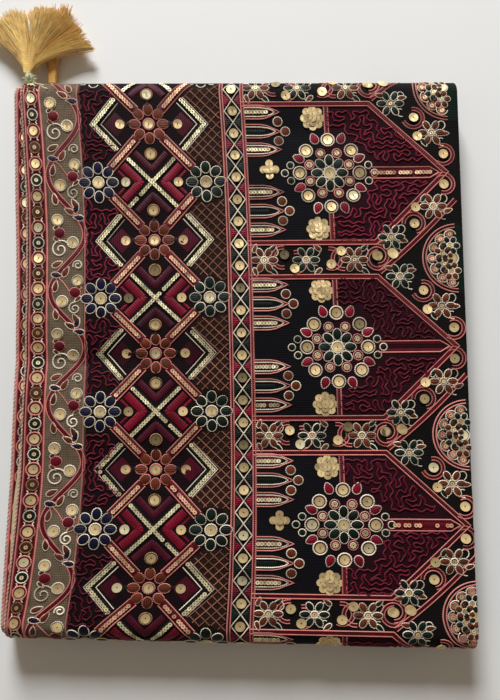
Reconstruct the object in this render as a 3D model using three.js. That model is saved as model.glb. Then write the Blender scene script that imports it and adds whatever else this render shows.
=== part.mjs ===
// An embroidered dupatta, folded flat: the cloth is doubled across its width, then rolled flat along its
// length into five stretches. Millimetres, +Z up, origin at the centre of the underside. +X is the side with the
// fold, -X the side with the two long hems, +Y the end where the cloth stops and its corner tassels lie.
import * as THREE from 'three';

// ---- Driving dimensions ----------------------------------------------------------------------------------
const STACK = 27; // height of the folded bundle
const ROLL = STACK / 2; // radius of the outermost roll at each end
const FLAT_END = 203; // where the flat top ends and a roll begins, both ways from the middle
const FOLD_X = 174; // the folded side
const WALL = 1.2; // one layer of embroidered cloth
const GAP = 0.3; // between neighbouring layers
const CORE_GAP = 0.8; // between a layer that shows and the hidden stack, which is only roughly rounded
const FOLD_RADIUS = WALL + GAP / 2; // outside radius of the tight side fold
const LIP = 22; // how far the folded side turns back under the face
const CORD = 0.85; // radius of the cords on the hems
const TAPE_WALL = 0.8;
const TAPE_PEEK = 4.5; // how far the edge tape shows past the face's hem, at most
const TAPE_SHOWS = { from: -40, to: -195 }; // the stretch along the hem where it does
const TAPE_HIDE = 1.5; // and how far it stays back where it doesn't show
const CORE_MARGIN = 1.2; // the hidden layers stay this far inside the under hem
const HEM_FOLLOW = 0.85; // how closely the hidden hems follow the under hem's line
const FOLD_CROWN = 0.8; // how much each hidden fold rounds out
const CORE_HALF_SLOT = 0.5; // half the thickness of the innermost turn
const END_HEM_TURN = THREE.MathUtils.degToRad(60); // how far the face's end drapes over the back roll

// Depths of the layers below the bundle's outer surface
const FACE_IN = WALL;
const FOLD_OUT = 2 * FOLD_RADIUS;
const TAPE_FROM = 2 * CORD + GAP;
const TAPE_TO = TAPE_FROM + TAPE_WALL;
const UNDER_FROM = TAPE_TO + 1.5 * GAP;
const UNDER_TO = UNDER_FROM + WALL;
const CORE_LEFT = UNDER_TO + CORE_GAP;
const CORE_MIDDLE = WALL + CORE_GAP;
const CORE_RIGHT = FOLD_OUT + CORE_GAP;
const TUCK = UNDER_TO + CORE_GAP; // how deep the back roll lies once it has passed under the face's end
const CORE_TUCK = TUCK + WALL + CORE_GAP - CORE_MIDDLE; // and how much deeper that pushes the hidden stack
const TUCK_DONE = 0.56; // the share of the back roll's turn by which it lies that deep
const ROLL_REACH = 0.86; // how much of a further half turn the back roll makes before it ends

// The long hems: where each one lies across the bundle at stations along it
const HEMS = [
  { y: 212, face: -169.5, under: -174.5 },
  { y: 180, face: -166.5, under: -173.3 },
  { y: 120, face: -161.6, under: -171.0 },
  { y: 40, face: -159.5, under: -167.8 },
  { y: -40, face: -160.4, under: -168.2 },
  { y: -90, face: -161.4, under: -169.2 },
  { y: -140, face: -164.5, under: -171.0 },
  { y: -182, face: -168.3, under: -172.6 },
  { y: -212, face: -170.4, under: -173.2 },
];

// The largest soft creases of the top: centre, length along the crease, width across, depth, turn in degrees
const CREASES = [
  { x: -58, y: -88, length: 190, width: 52, depth: 4.2, turn: 4 },
  { x: -128, y: -8, length: 110, width: 40, depth: 3.0, turn: -6 },
  { x: 70, y: -66, length: 200, width: 46, depth: 2.4, turn: -8 },
  { x: -104, y: 92, length: 130, width: 46, depth: 1.8, turn: 5 },
  { x: 52, y: 176, length: 110, width: 34, depth: 2.4, turn: 2 },
  { x: 112, y: 40, length: 150, width: 60, depth: 1.8, turn: 80 },
  { x: -20, y: 30, length: 150, width: 60, depth: -1.4, turn: 12 },
];
const CREASE_FADE_FROM = 165; // creases fade out between here and the rolls
const SLANT = 0.017; // how far the two ends run out of square, in mm for each mm across

// Columns across the bundle that every layer shares, so that layers bend alike
const COLUMNS = [-146, -132, -118, -92, -66, -40, -14, 12, 38, 64, 90, 116, 148];
const LEFT_SHELF = -160; // where the hidden stack's top starts, under the hems
const SLOT_LEFT = -150; // the innermost turn of the hidden stack lies between these
const SLOT_RIGHT = 166;
const TOP_STEPS = 17;
const UNDERSIDE_STEPS = 3;
const ROLL_STEPS = 7;
const END_HEM_STEPS = 3;
const UNDER_END_FLAT = 5; // how far the under half's end reaches onto the flat top
const FOLD_STEPS = 4;
const CORD_SIDES = 5;

// The layered edges of the hidden stack: each row is one hem or fold, from its depth to the next groove
const LEFT_EDGES = [
  { from: 5.1, to: 7.0, reach: 0.0, groove: 6 },
  { from: 7.3, to: 9.0, reach: -2.5, groove: 6 },
  { from: 9.3, to: 11.0, reach: 0.8, groove: 6 },
  { from: 11.3, to: 12.8, reach: -3.5, groove: 6 },
];
const RIGHT_EDGES = [
  { from: 3.5, to: 5.9, reach: -1.2, groove: 5 },
  { from: 6.2, to: 9.1, reach: -0.2, groove: 5 },
  { from: 9.4, to: 12.6, reach: -1.8, groove: 5 },
];

// The tassels: the cloth's corner, the skirt's base, its fan angles from +Y towards +X in degrees, how far
// its apex lies behind the base, its reach from there, and its lower and upper heights at the base and at the rim
const TASSELS = [
  {
    name: 'tassel_a', corner: [-164.5, 219.2, 18.0], base: [-169.0, 230.0, 13.8],
    from: -48, to: 62, back: 1.2, reach: 60, baseLow: 10.5, baseHigh: 17, rimLow: 6.2, rimHigh: 10.2,
  },
  {
    name: 'tassel_b', corner: [-150.6, 215.5, 5.0], base: [-151.3, 225.6, 5.0],
    from: -15, to: 17, back: 8, reach: 80, baseLow: 1.8, baseHigh: 8, rimLow: 0.4, rimHigh: 4.2,
  },
];
const CAP_PROFILE = [
  { along: 0, radius: 0.78 },
  { along: 0.2, radius: 1 },
  { along: 0.7, radius: 0.9 },
  { along: 1, radius: 0.68 },
];
const CAP_RADIUS = 4.6;
const CAP_SIDES = 12;
const SKIRT_STEPS = 9;

// ---- Materials -------------------------------------------------------------------------------------------
const cloth = (color) => new THREE.MeshStandardMaterial({ color, roughness: 0.85, metalness: 0 });
const thread = (color) => new THREE.MeshStandardMaterial({ color, roughness: 0.5, metalness: 0.1 });
const COLOURS = {
  face: 0x3a141f, roll: 0x34121c, under: 0x2a1218, core: 0x241014, cord: 0xc8958a, tape: 0xd8c7a4,
  cap: 0xd3d39a, skirt: 0xc8964a,
};

// ---- Small helpers ---------------------------------------------------------------------------------------
const { lerp, clamp, smoothstep, degToRad } = THREE.MathUtils;
const steps = (count) => Array.from({ length: count + 1 }, (_, i) => i / count);

/** Value of one named column of the hem table at a station y. */
function hem(column, y) {
  const next = HEMS.findIndex((row) => row.y <= y);
  if (next === 0) return HEMS[0][column];
  if (next < 0) return HEMS[HEMS.length - 1][column];
  const [upper, lower] = [HEMS[next - 1], HEMS[next]];
  return lerp(lower[column], upper[column], (y - lower.y) / (upper.y - lower.y));
}

/** Height that the creases add to the flat top at a point: troughs are negative. */
function crease(x, y) {
  const fade = 1 - smoothstep(Math.abs(y), CREASE_FADE_FROM, FLAT_END);
  return fade * CREASES.reduce((sum, row) => {
    const [cos, sin] = [Math.cos(degToRad(row.turn)), Math.sin(degToRad(row.turn))];
    const along = ((x - row.x) * cos + (y - row.y) * sin) / (row.length / 2);
    const aside = ((y - row.y) * cos - (x - row.x) * sin) / (row.width / 2);
    return sum - row.depth * Math.exp(-(along * along) - aside * aside);
  }, 0);
}

// ---- The wrap: stations along the cloth's way round the bundle -------------------------------------------
// A station has the y of its centre line, its turn (0 faces up, a half turn faces down) and how far it has
// wound inwards. Positive turns lean to the back end, negative ones to the front.
const station = (y, turn, wind = 0) => ({ y, turn, wind });
const topStations = steps(TOP_STEPS).map((t) => station(lerp(FLAT_END, -FLAT_END, t), 0));
const frontRoll = steps(ROLL_STEPS).slice(1).map((t) => station(-FLAT_END, -Math.PI * t));
const undersideStations = steps(UNDERSIDE_STEPS).slice(1)
  .map((t) => station(lerp(-FLAT_END, FLAT_END, t), -Math.PI));
const endHem = steps(END_HEM_STEPS).slice(0, -1).map((t) => station(FLAT_END, END_HEM_TURN * (1 - t)));
const tucked = (share) => Math.min(1, share / TUCK_DONE);
const backRoll = steps(ROLL_STEPS).map((t) => (
  station(FLAT_END + GAP, -Math.PI * (1 + ROLL_REACH * t), TUCK * tucked(t))));
const underEnd = [...endHem, station(FLAT_END, 0), station(FLAT_END - UNDER_END_FLAT, 0)];
const outerWrap = [...endHem, ...topStations, ...frontRoll, ...undersideStations];

/** The place of a point across at x and `depth` below the bundle's surface, at a station of the wrap. */
function place(x, depth, { y, turn, wind }) {
  const sinking = clamp((depth - CORE_LEFT) / (ROLL - CORE_LEFT), 0, 1);
  const inset = depth + wind * (1 - sinking);
  const radius = ROLL - inset;
  const lift = Math.max(0, Math.cos(turn)) * (1 - sinking);
  const along = y + radius * Math.sin(turn);
  const slant = -SLANT * x * (along / FLAT_END) * Math.abs(along / FLAT_END) * Math.sign(along || 1);
  return new THREE.Vector3(x, along + slant, ROLL + radius * Math.cos(turn) + crease(x, y) * lift);
}

/** A closed body through rings of equally many points, with end caps that pair a ring's two sides. */
function skin(rings) {
  const [count, size] = [rings.length, rings[0].length];
  const at = (ring, point) => ring * size + (point % size);
  const faces = [];
  for (let r = 0; r < count - 1; r += 1) {
    for (let p = 0; p < size; p += 1) {
      const [a, b, c, d] = [at(r, p), at(r, p + 1), at(r + 1, p + 1), at(r + 1, p)];
      // Both sides of a wall split their quads along the same diagonal, so that stacked walls never cross.
      faces.push(...(p < size / 2 ? [a, b, d, b, c, d] : [a, b, c, a, c, d]));
    }
  }
  const cap = (ring, flip) => {
    for (let p = 0; p < size / 2 - 1; p += 1) {
      const quad = [at(ring, p), at(ring, p + 1), at(ring, size - 2 - p), at(ring, size - 1 - p)];
      const tris = [quad[0], quad[2], quad[1], quad[0], quad[3], quad[2]];
      faces.push(...(flip ? tris.reverse() : tris));
    }
  };
  cap(0, false);
  cap(count - 1, true);
  return body(rings.flat(), faces);
}

/** A geometry from points and triangles, turned so that its faces point out. */
function body(points, faces) {
  const volume = faces.reduce((sum, _, i) => (i % 3 ? sum
    : sum + points[faces[i]].dot(points[faces[i + 1]].clone().cross(points[faces[i + 2]]))), 0);
  const geometry = new THREE.BufferGeometry().setFromPoints(points);
  geometry.setIndex(volume < 0 ? [...faces].reverse() : faces);
  geometry.computeVertexNormals();
  return geometry;
}

/** A plain wall between two depths, from one side to the other, with the shared columns between. */
function wall(stations, left, right, from, to) {
  return skin(stations.map((s) => {
    const columns = [left(s), ...COLUMNS.filter((x) => x > left(s) + 1 && x < right(s) - 1), right(s)];
    return [...columns.map((x) => place(x, from, s)), ...columns.reverse().map((x) => place(x, to, s))];
  }));
}

/** A cord beside a hem, `depth` to its middle. */
function cord(stations, across, depth) {
  const turns = Array.from({ length: CORD_SIDES }, (_, i) => (2 * Math.PI * i) / CORD_SIDES);
  const rings = stations.map((s) => turns.map((a) => (
    place(across(s) + CORD * Math.sin(a), depth - CORD * Math.cos(a), s))));
  const middles = [0, rings.length - 1].map((r) => place(across(stations[r]), depth, stations[r]));
  return capped(rings, middles);
}

/** A closed body through rings, with a point at the middle of each end. */
function capped(rings, middles) {
  const size = rings[0].length;
  const points = [...rings.flat(), ...middles];
  const faces = [];
  for (let p = 0; p < size; p += 1) {
    const q = (p + 1) % size;
    for (let r = 0; r < rings.length - 1; r += 1) {
      const [a, b] = [r * size, (r + 1) * size];
      faces.push(a + p, a + q, b + p, a + q, b + q, b + p);
    }
    const last = (rings.length - 1) * size;
    faces.push(rings.length * size, q, p, rings.length * size + 1, last + p, last + q);
  }
  return body(points, faces);
}

// ---- Where the hems lie ----------------------------------------------------------------------------------
const faceHem = (s) => hem('face', s.y);
const underHem = (s) => hem('under', s.y);
const foldStart = () => FOLD_X - FOLD_RADIUS;
const besideFaceHem = (s) => faceHem(s) - CORD - GAP;
const besideUnderHem = (s) => underHem(s) - CORD - GAP;
const tapeEnd = () => COLUMNS[0];
const stripEnd = () => COLUMNS[2]; // the under half shows only as a strip this wide
const endStart = () => COLUMNS[2] + GAP; // and, across the rest, as its end hem
const tapeEdge = (s) => {
  const shown = Math.sin(Math.PI * clamp((TAPE_SHOWS.from - s.y) / (TAPE_SHOWS.from - TAPE_SHOWS.to), 0, 1));
  return faceHem(s) + lerp(TAPE_HIDE, -TAPE_PEEK, shown);
};

// ---- The pieces ------------------------------------------------------------------------------------------
/** The face with its tight fold at the side: the section is a wall that turns back under itself. */
function facePanel() {
  const turns = steps(FOLD_STEPS).slice(1).map((t) => Math.PI * t);
  const arc = (radius) => turns.map((a) => (
    [foldStart() + radius * Math.sin(a), FOLD_RADIUS - radius * Math.cos(a)]));
  return skin(outerWrap.map((s) => {
    const columns = [faceHem(s), ...COLUMNS, foldStart()];
    const outside = [...columns.map((x) => [x, 0]), ...arc(FOLD_RADIUS), [foldStart() - LIP, FOLD_OUT]];
    const lipEnd = [foldStart() - LIP, FOLD_OUT - WALL];
    const inside = [...columns.map((x) => [x, FACE_IN]), ...arc(FOLD_RADIUS - WALL), lipEnd];
    return [...outside, ...inside.reverse()].map(([x, depth]) => place(x, depth, s));
  }));
}

/** The hidden layers as one rounded solid, with each hem and fold as a rounded edge between two grooves. */
function innerLayers() {
  const under = topStations.map((s) => station(-s.y, -Math.PI));
  const back = steps(ROLL_STEPS + 1).slice(1, -1)
    .map((t) => station(FLAT_END, -Math.PI * (1 + t), CORE_TUCK * tucked(t / ROLL_REACH)));
  const top = [station(FLAT_END, 0, CORE_TUCK), ...topStations.slice(1)];
  const loop = [...top, ...frontRoll, ...under.slice(1), ...back];
  const leftSide = (s) => LEFT_EDGES.flatMap((row) => {
    const edge = lerp(hem('under', 0), hem('under', s.y), HEM_FOLLOW) + CORE_MARGIN - row.reach;
    const depth = (share) => lerp(row.from, row.to, share);
    return [[edge + row.groove, depth(0)], [edge, depth(0.25)], [edge, depth(0.75)]];
  });
  const rightSide = RIGHT_EDGES.flatMap((row) => {
    const edge = FOLD_X + row.reach;
    const depth = (share) => lerp(row.from, row.to, share);
    return [[edge - row.groove, depth(0)], [edge - FOLD_CROWN, depth(0.15)], [edge, depth(0.5)],
      [edge - FOLD_CROWN, depth(0.85)]];
  });
  const lipEnd = foldStart() - LIP;
  const middle = COLUMNS.filter((x) => x > COLUMNS[2] && x < lipEnd - 1);
  const section = (s) => [
    [SLOT_LEFT, ROLL - CORE_HALF_SLOT],
    ...leftSide(s).reverse().slice(0, -1),
    [LEFT_SHELF, CORE_LEFT], ...COLUMNS.slice(0, 3).map((x) => [x, CORE_LEFT]),
    [COLUMNS[2] + 1, CORE_MIDDLE], ...middle.map((x) => [x, CORE_MIDDLE]), [lipEnd - 2, CORE_MIDDLE],
    [lipEnd - 1, CORE_RIGHT], ...rightSide,
    [SLOT_RIGHT, ROLL - CORE_HALF_SLOT],
  ];
  return closedLoop(loop.map((s) => section(s).map(([x, depth]) => place(x, depth, s))));
}

/** A body round a closed loop of open sections; the sections' first and last points close as flat slots. */
function closedLoop(rings) {
  const [count, size] = [rings.length, rings[0].length];
  const at = (ring, point) => (ring % count) * size + point;
  const faces = [];
  for (let r = 0; r < count; r += 1) {
    for (let p = 0; p < size - 1; p += 1) {
      faces.push(at(r, p), at(r, p + 1), at(r + 1, p), at(r, p + 1), at(r + 1, p + 1), at(r + 1, p));
    }
  }
  for (const [point, flip] of [[0, false], [size - 1, true]]) {
    const outline = rings.map((ring) => new THREE.Vector2(ring[point].y, ring[point].z));
    for (const tri of THREE.ShapeUtils.triangulateShape(outline, [])) {
      const corners = tri.map((i) => at(i, point));
      faces.push(...(flip ? corners.reverse() : corners));
    }
  }
  return body(rings.flat(), faces);
}

/** A tassel's wound cap, from the cloth's corner to the skirt's base. */
function tasselCap({ corner, base }) {
  const [start, end] = [new THREE.Vector3(...corner), new THREE.Vector3(...base)];
  const way = end.clone().sub(start).normalize();
  const length = start.distanceTo(end) - GAP - Math.abs(way.z) * CAP_RADIUS;
  const wound = CAP_PROFILE.map((row) => [row.radius * CAP_RADIUS, row.along * length]);
  const outline = [[0, 0], ...wound, [0, length]];
  const geometry = new THREE.LatheGeometry(outline.map(([r, h]) => new THREE.Vector2(r, h)), CAP_SIDES);
  geometry.applyQuaternion(new THREE.Quaternion().setFromUnitVectors(new THREE.Vector3(0, 1, 0), way));
  return geometry.translate(...corner);
}

/** The plain fan that a tassel's cut threads reach over. */
function tasselSkirt({ base, from, to, back, reach, baseLow, baseHigh, rimLow, rimHigh }) {
  const middle = degToRad((from + to) / 2);
  const apex = [base[0] - back * Math.sin(middle), base[1] - back * Math.cos(middle)];
  const near = back + 3 * GAP;
  return skin(steps(SKIRT_STEPS).map((t) => {
    const angle = degToRad(lerp(from, to, t));
    const at = (radius, z) => (
      new THREE.Vector3(apex[0] + radius * Math.sin(angle), apex[1] + radius * Math.cos(angle), z));
    return [at(near, baseLow), at(reach, rimLow), at(reach, rimHigh), at(near, baseHigh)];
  }));
}

// ---- The scene graph -------------------------------------------------------------------------------------
const piece = (name, geometry, material) => {
  const mesh = new THREE.Mesh(geometry, material);
  mesh.name = name;
  return mesh;
};

const dupatta = new THREE.Group();
dupatta.add(
  piece('face_panel', facePanel(), cloth(COLOURS.face)),
  piece('roll_panel', wall(backRoll, faceHem, foldStart, 0, WALL), cloth(COLOURS.roll)),
  piece('under_panel', wall(outerWrap, underHem, stripEnd, UNDER_FROM, UNDER_TO), cloth(COLOURS.under)),
  piece('inner_layers', innerLayers(), cloth(COLOURS.core)),
  piece('under_end_panel', wall(underEnd, endStart, foldStart, UNDER_FROM, UNDER_TO), cloth(COLOURS.under)),
  piece('edge_tape', wall(outerWrap, tapeEdge, tapeEnd, TAPE_FROM, TAPE_TO), cloth(COLOURS.tape)),
  piece('face_piping', cord(outerWrap, besideFaceHem, CORD), thread(COLOURS.cord)),
  piece('under_piping', cord(outerWrap, besideUnderHem, UNDER_FROM + CORD / 2), thread(COLOURS.cord)),
);
for (const row of TASSELS) {
  dupatta.add(
    piece(`${row.name}_cap`, tasselCap(row), thread(COLOURS.cap)),
    piece(`${row.name}_skirt`, tasselSkirt(row), thread(COLOURS.skirt)),
  );
}

export default dupatta;
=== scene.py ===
"""An embroidered dupatta, folded flat, with its needlework, hem cords, edge tape and corner tassels.

The cloth is worked flat, in cloth space: u runs across it, v along it and h stands off its surface, all in
millimetres. One mapping then lays every stitch, and the cloth itself, round the folded bundle, in metres.
"""
import logging
import math
import random
from collections import defaultdict
from dataclasses import dataclass, replace
from enum import Enum
from typing import Callable, ClassVar, NamedTuple, Sequence

import bmesh
import bpy
import numpy as np
from bpy.types import ID, Material, Mesh, Node, NodeOutputs, NodeSocket, NodeTree, Object
from mathutils import Matrix, Vector


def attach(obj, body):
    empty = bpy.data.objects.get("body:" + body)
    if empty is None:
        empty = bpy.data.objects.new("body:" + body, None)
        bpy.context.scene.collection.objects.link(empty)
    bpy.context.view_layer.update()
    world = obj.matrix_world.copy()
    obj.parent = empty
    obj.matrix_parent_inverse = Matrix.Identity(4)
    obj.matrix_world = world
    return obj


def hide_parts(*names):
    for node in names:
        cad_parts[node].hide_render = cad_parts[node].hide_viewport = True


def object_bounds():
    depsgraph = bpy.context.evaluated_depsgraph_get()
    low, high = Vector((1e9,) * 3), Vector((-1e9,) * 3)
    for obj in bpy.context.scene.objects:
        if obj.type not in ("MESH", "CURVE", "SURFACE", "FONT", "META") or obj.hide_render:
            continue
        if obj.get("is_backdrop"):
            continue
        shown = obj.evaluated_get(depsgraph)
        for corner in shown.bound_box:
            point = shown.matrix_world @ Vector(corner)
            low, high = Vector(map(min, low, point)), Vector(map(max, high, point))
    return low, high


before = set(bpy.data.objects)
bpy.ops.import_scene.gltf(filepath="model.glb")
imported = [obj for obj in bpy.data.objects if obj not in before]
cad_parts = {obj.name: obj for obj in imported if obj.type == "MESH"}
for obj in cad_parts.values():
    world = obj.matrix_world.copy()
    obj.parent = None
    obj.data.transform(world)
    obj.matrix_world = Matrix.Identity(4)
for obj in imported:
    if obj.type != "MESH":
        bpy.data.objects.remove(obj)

LOG = logging.getLogger("dupatta")
MM = 0.001
BODY = "root"
Array = np.ndarray
Field = Callable[[Array, Array], Array]


def cos_sin(degrees: float) -> tuple[float, float]:
    """The cosine and sine of an angle in degrees."""
    return math.cos(math.radians(degrees)), math.sin(math.radians(degrees))


# ---- The bundle and the laying of the cloth --------------------------------------------------------------
class Hem(NamedTuple):
    """Where the two long hems lie across the bundle at one station along it."""

    y: float
    face: float
    under: float


class Crease(NamedTuple):
    """A soft trough of the top: centre, length along it, width across, depth, and turn in degrees."""

    x: float
    y: float
    length: float
    width: float
    depth: float
    turn: float


HEMS = (
    Hem(-212, -170.4, -173.2), Hem(-182, -168.3, -172.6), Hem(-140, -164.5, -171.0), Hem(-90, -161.4, -169.2),
    Hem(-40, -160.4, -168.2), Hem(40, -159.5, -167.8), Hem(120, -161.6, -171.0), Hem(180, -166.5, -173.3),
    Hem(212, -169.5, -174.5),
)
MAIN_CREASES = (
    Crease(-58, -88, 190, 52, 4.2, 4), Crease(-128, -8, 110, 40, 3.0, -6), Crease(70, -66, 200, 46, 2.4, -8),
    Crease(-104, 92, 130, 46, 1.8, 5), Crease(52, 176, 110, 34, 2.4, 2), Crease(112, 40, 150, 60, 1.8, 80),
    Crease(-20, 30, 150, 60, -1.4, 12),
)
FINE_CREASES = (
    Crease(-96, -118, 120, 18, 1.1, 8), Crease(24, -128, 90, 16, 0.8, -14), Crease(128, -120, 110, 20, 0.9, 34),
    Crease(-134, 120, 90, 15, 0.9, 82), Crease(-30, 132, 110, 17, 0.8, -24), Crease(96, 128, 120, 19, 1.0, 14),
    Crease(140, 60, 80, 16, 0.8, -62), Crease(-82, 24, 90, 17, 0.7, 66), Crease(38, 62, 100, 18, 0.7, 24),
    Crease(-10, -40, 120, 18, 0.8, -10), Crease(110, -24, 90, 16, 0.7, 4), Crease(-140, -130, 70, 14, 0.8, 74),
    Crease(70, 8, 70, 15, 0.6, -38), Crease(-60, -170, 130, 20, 0.9, 2), Crease(-90, -6, 170, 14, 1.6, 0),
)


@dataclass(frozen=True)
class Bundle:
    """The folded bundle: its sizes in millimetres, and the mappings that lay flat cloth round it."""

    stack: float = 27.0
    flat_end: float = 203.0
    fold_x: float = 174.0
    wall: float = 1.2
    gap: float = 0.3
    core_gap: float = 0.8
    lip: float = 22.0
    cord: float = 0.85
    tape_wall: float = 0.8
    tape_peek: float = 4.5
    tape_hide: float = 1.5
    tape_shows: tuple[float, float] = (-40.0, -195.0)
    slant: float = 0.017
    crease_fade_from: float = 165.0
    end_hem_turn: float = math.radians(60)
    roll_reach: float = 0.86
    tuck_done: float = 0.56
    hem_u: float = -159.5
    first_band_u: float = -151.3

    @property
    def roll(self) -> float:
        """Radius of the outermost roll."""
        return self.stack / 2

    @property
    def fold_radius(self) -> float:
        """Outside radius of the tight side fold."""
        return self.wall + self.gap / 2

    @property
    def fold_from(self) -> float:
        """Where the flat face ends and the side fold begins."""
        return self.fold_x - self.fold_radius

    @property
    def tape_from(self) -> float:
        """Depth of the edge tape's upper side."""
        return 2 * self.cord + self.gap

    @property
    def under_from(self) -> float:
        """Depth of the lower half's upper side."""
        return self.tape_from + self.tape_wall + 1.5 * self.gap

    @property
    def core_left(self) -> float:
        """Depth at which the hidden layers begin under the long hems."""
        return self.under_from + self.wall + self.core_gap

    @property
    def core_middle(self) -> float:
        """Depth at which they begin under the plain face."""
        return self.wall + self.core_gap

    @property
    def half_roll(self) -> float:
        """Length of cloth round half a roll."""
        return math.pi * self.roll

    @property
    def end_run(self) -> float:
        """Run of the face's end hem, which drapes over the back roll."""
        return self.flat_end + self.end_hem_turn * self.roll

    @property
    def under_end_run(self) -> float:
        """Run at which the underside meets the back roll."""
        return -3 * self.flat_end - self.half_roll

    @property
    def last_run(self) -> float:
        """Run at which the back roll ends, tucked under the face."""
        return self.under_end_run - self.roll_reach * self.half_roll

    def hem(self, which: str, y: Array) -> Array:
        """Place across of one long hem, "face" or "under", at stations y."""
        return np.interp(y, [row.y for row in HEMS], [getattr(row, which) for row in HEMS])

    def crease(self, x: Array, y: Array) -> Array:
        """Height that the creases add to the flat top at points."""
        total = np.zeros(np.broadcast(x, y).shape)
        for row in MAIN_CREASES + FINE_CREASES:
            cos, sin = cos_sin(row.turn)
            along = ((x - row.x) * cos + (y - row.y) * sin) / (row.length / 2)
            aside = ((y - row.y) * cos - (x - row.x) * sin) / (row.width / 2)
            total -= row.depth * np.exp(-along * along - aside * aside)
        past = np.clip((np.abs(y) - self.crease_fade_from) / (self.flat_end - self.crease_fade_from), 0, 1)
        return total * (1 - past * past * (3 - 2 * past))

    def station(self, run: Array) -> tuple[Array, Array, Array]:
        """The station of a run, which falls from the end hem over the top to the underside.

        Args:
            run: Lengths along the cloth, 0 at the middle of the top.

        Returns:
            The y of the centre line, the turn (0 faces up) and how far the cloth has wound inwards.
        """
        end, half = self.flat_end, self.half_roll
        share = np.clip((self.under_end_run - run) / (self.roll_reach * half), 0, 1)
        parts = [run > end, run >= -end, run >= -end - half, run >= self.under_end_run]
        y = np.select(parts, [end, run, -end, -2 * end - half - run], end + self.gap)
        turn = np.select(parts, [(run - end) / self.roll, 0, (run + end) / self.roll, -math.pi],
                         -math.pi * (1 + self.roll_reach * share))
        wind = np.where(parts[3], 0, self.core_left * np.minimum(1, share / self.tuck_done))
        return y, turn, wind

    def place(self, x: Array, depth: Array, y: Array, turn: Array, wind: Array) -> Array:
        """Places of points at x across and a depth below the surface, at stations of the wrap, in metres."""
        sinking = np.clip((depth - self.core_left) / (self.roll - self.core_left), 0, 1)
        radius = self.roll - (depth + wind * (1 - sinking))
        lift = np.maximum(0, np.cos(turn)) * (1 - sinking)
        along = y + radius * np.sin(turn)
        slanted = along - self.slant * x * (along / self.flat_end) ** 2
        return np.stack([x, slanted, self.roll + radius * np.cos(turn) + self.crease(x, y) * lift], -1) * MM

    def wrap(self, x: Array, run: Array, h: Array) -> Array:
        """Places of points of the face, which turns back under itself past the side fold, in metres."""
        beyond = np.maximum(0, x - self.fold_from)
        angle = np.minimum(beyond / self.fold_radius, math.pi)
        back = np.maximum(0, beyond - math.pi * self.fold_radius)
        rho = self.fold_radius + h
        across = np.minimum(x, self.fold_from) + rho * np.sin(angle) - back
        return self.place(across, self.fold_radius - rho * np.cos(angle), *self.station(run))

    def run(self, v: Array) -> Array:
        """The run along the bundle of cloth lengths v: rows lie a little wider apart towards the ends."""
        return v + 4.6 * (np.minimum(np.abs(v), self.flat_end) / 178) ** 2 - 1.5

    def drift(self, u: Array, v: Array) -> Array:
        """How far the left of the cloth has slipped along, against its right."""
        slipped = 2.4 * np.clip(v / 40, 0, 1) + 1.2 * np.clip((-v - 100) / 40, 0, 1)
        return -slipped * np.clip((-2 - u) / 3, 0, 1)

    def across(self, u: Array, y: Array) -> Array:
        """Place across the bundle of cloth widths u: the cloth's grain drifts towards both ends."""
        share = np.clip((170 - u) / 320, 0, 1) ** 1.3
        pull = np.where(y > 0, -11 * (np.abs(y) / 204) ** 2.4, -13 * (np.abs(y) / 203) ** 3.1)
        x = u + pull * share - 0.026 * y * (1 - share)
        hem = self.hem("face", y)
        band = self.first_band_u + pull
        beside = hem + (u - self.hem_u) * (band - hem) / (self.first_band_u - self.hem_u)
        return np.where(u < self.first_band_u, beside, x)

    def unlay(self, x: Array, run: Array) -> tuple[Array, Array]:
        """Cloth widths and lengths of points at x across and a run along."""
        y = self.station(run)[0]
        u, v = np.array(x, float), np.array(run, float)
        for _ in range(4):
            u = u + x - self.across(u, y)
            v = v + run - self.run(v + self.drift(u, v))
        return u, v

    def lay(self, points: Array) -> Array:
        """Places in metres of points (u, v, h) of cloth space, one in each row."""
        u, v, h = points.T
        run = self.run(v + self.drift(u, v))
        return self.wrap(self.across(u, self.station(run)[0]), run, h)


# ---- Finishes --------------------------------------------------------------------------------------------
def linear(colour: Sequence[float]) -> tuple[float, float, float, float]:
    """A display colour of 0 to 255 as a linear one."""
    parts = [c / 255 for c in colour]
    return tuple(c / 12.92 if c <= 0.04045 else ((c + 0.055) / 1.055) ** 2.4 for c in parts) + (1.0,)


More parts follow.
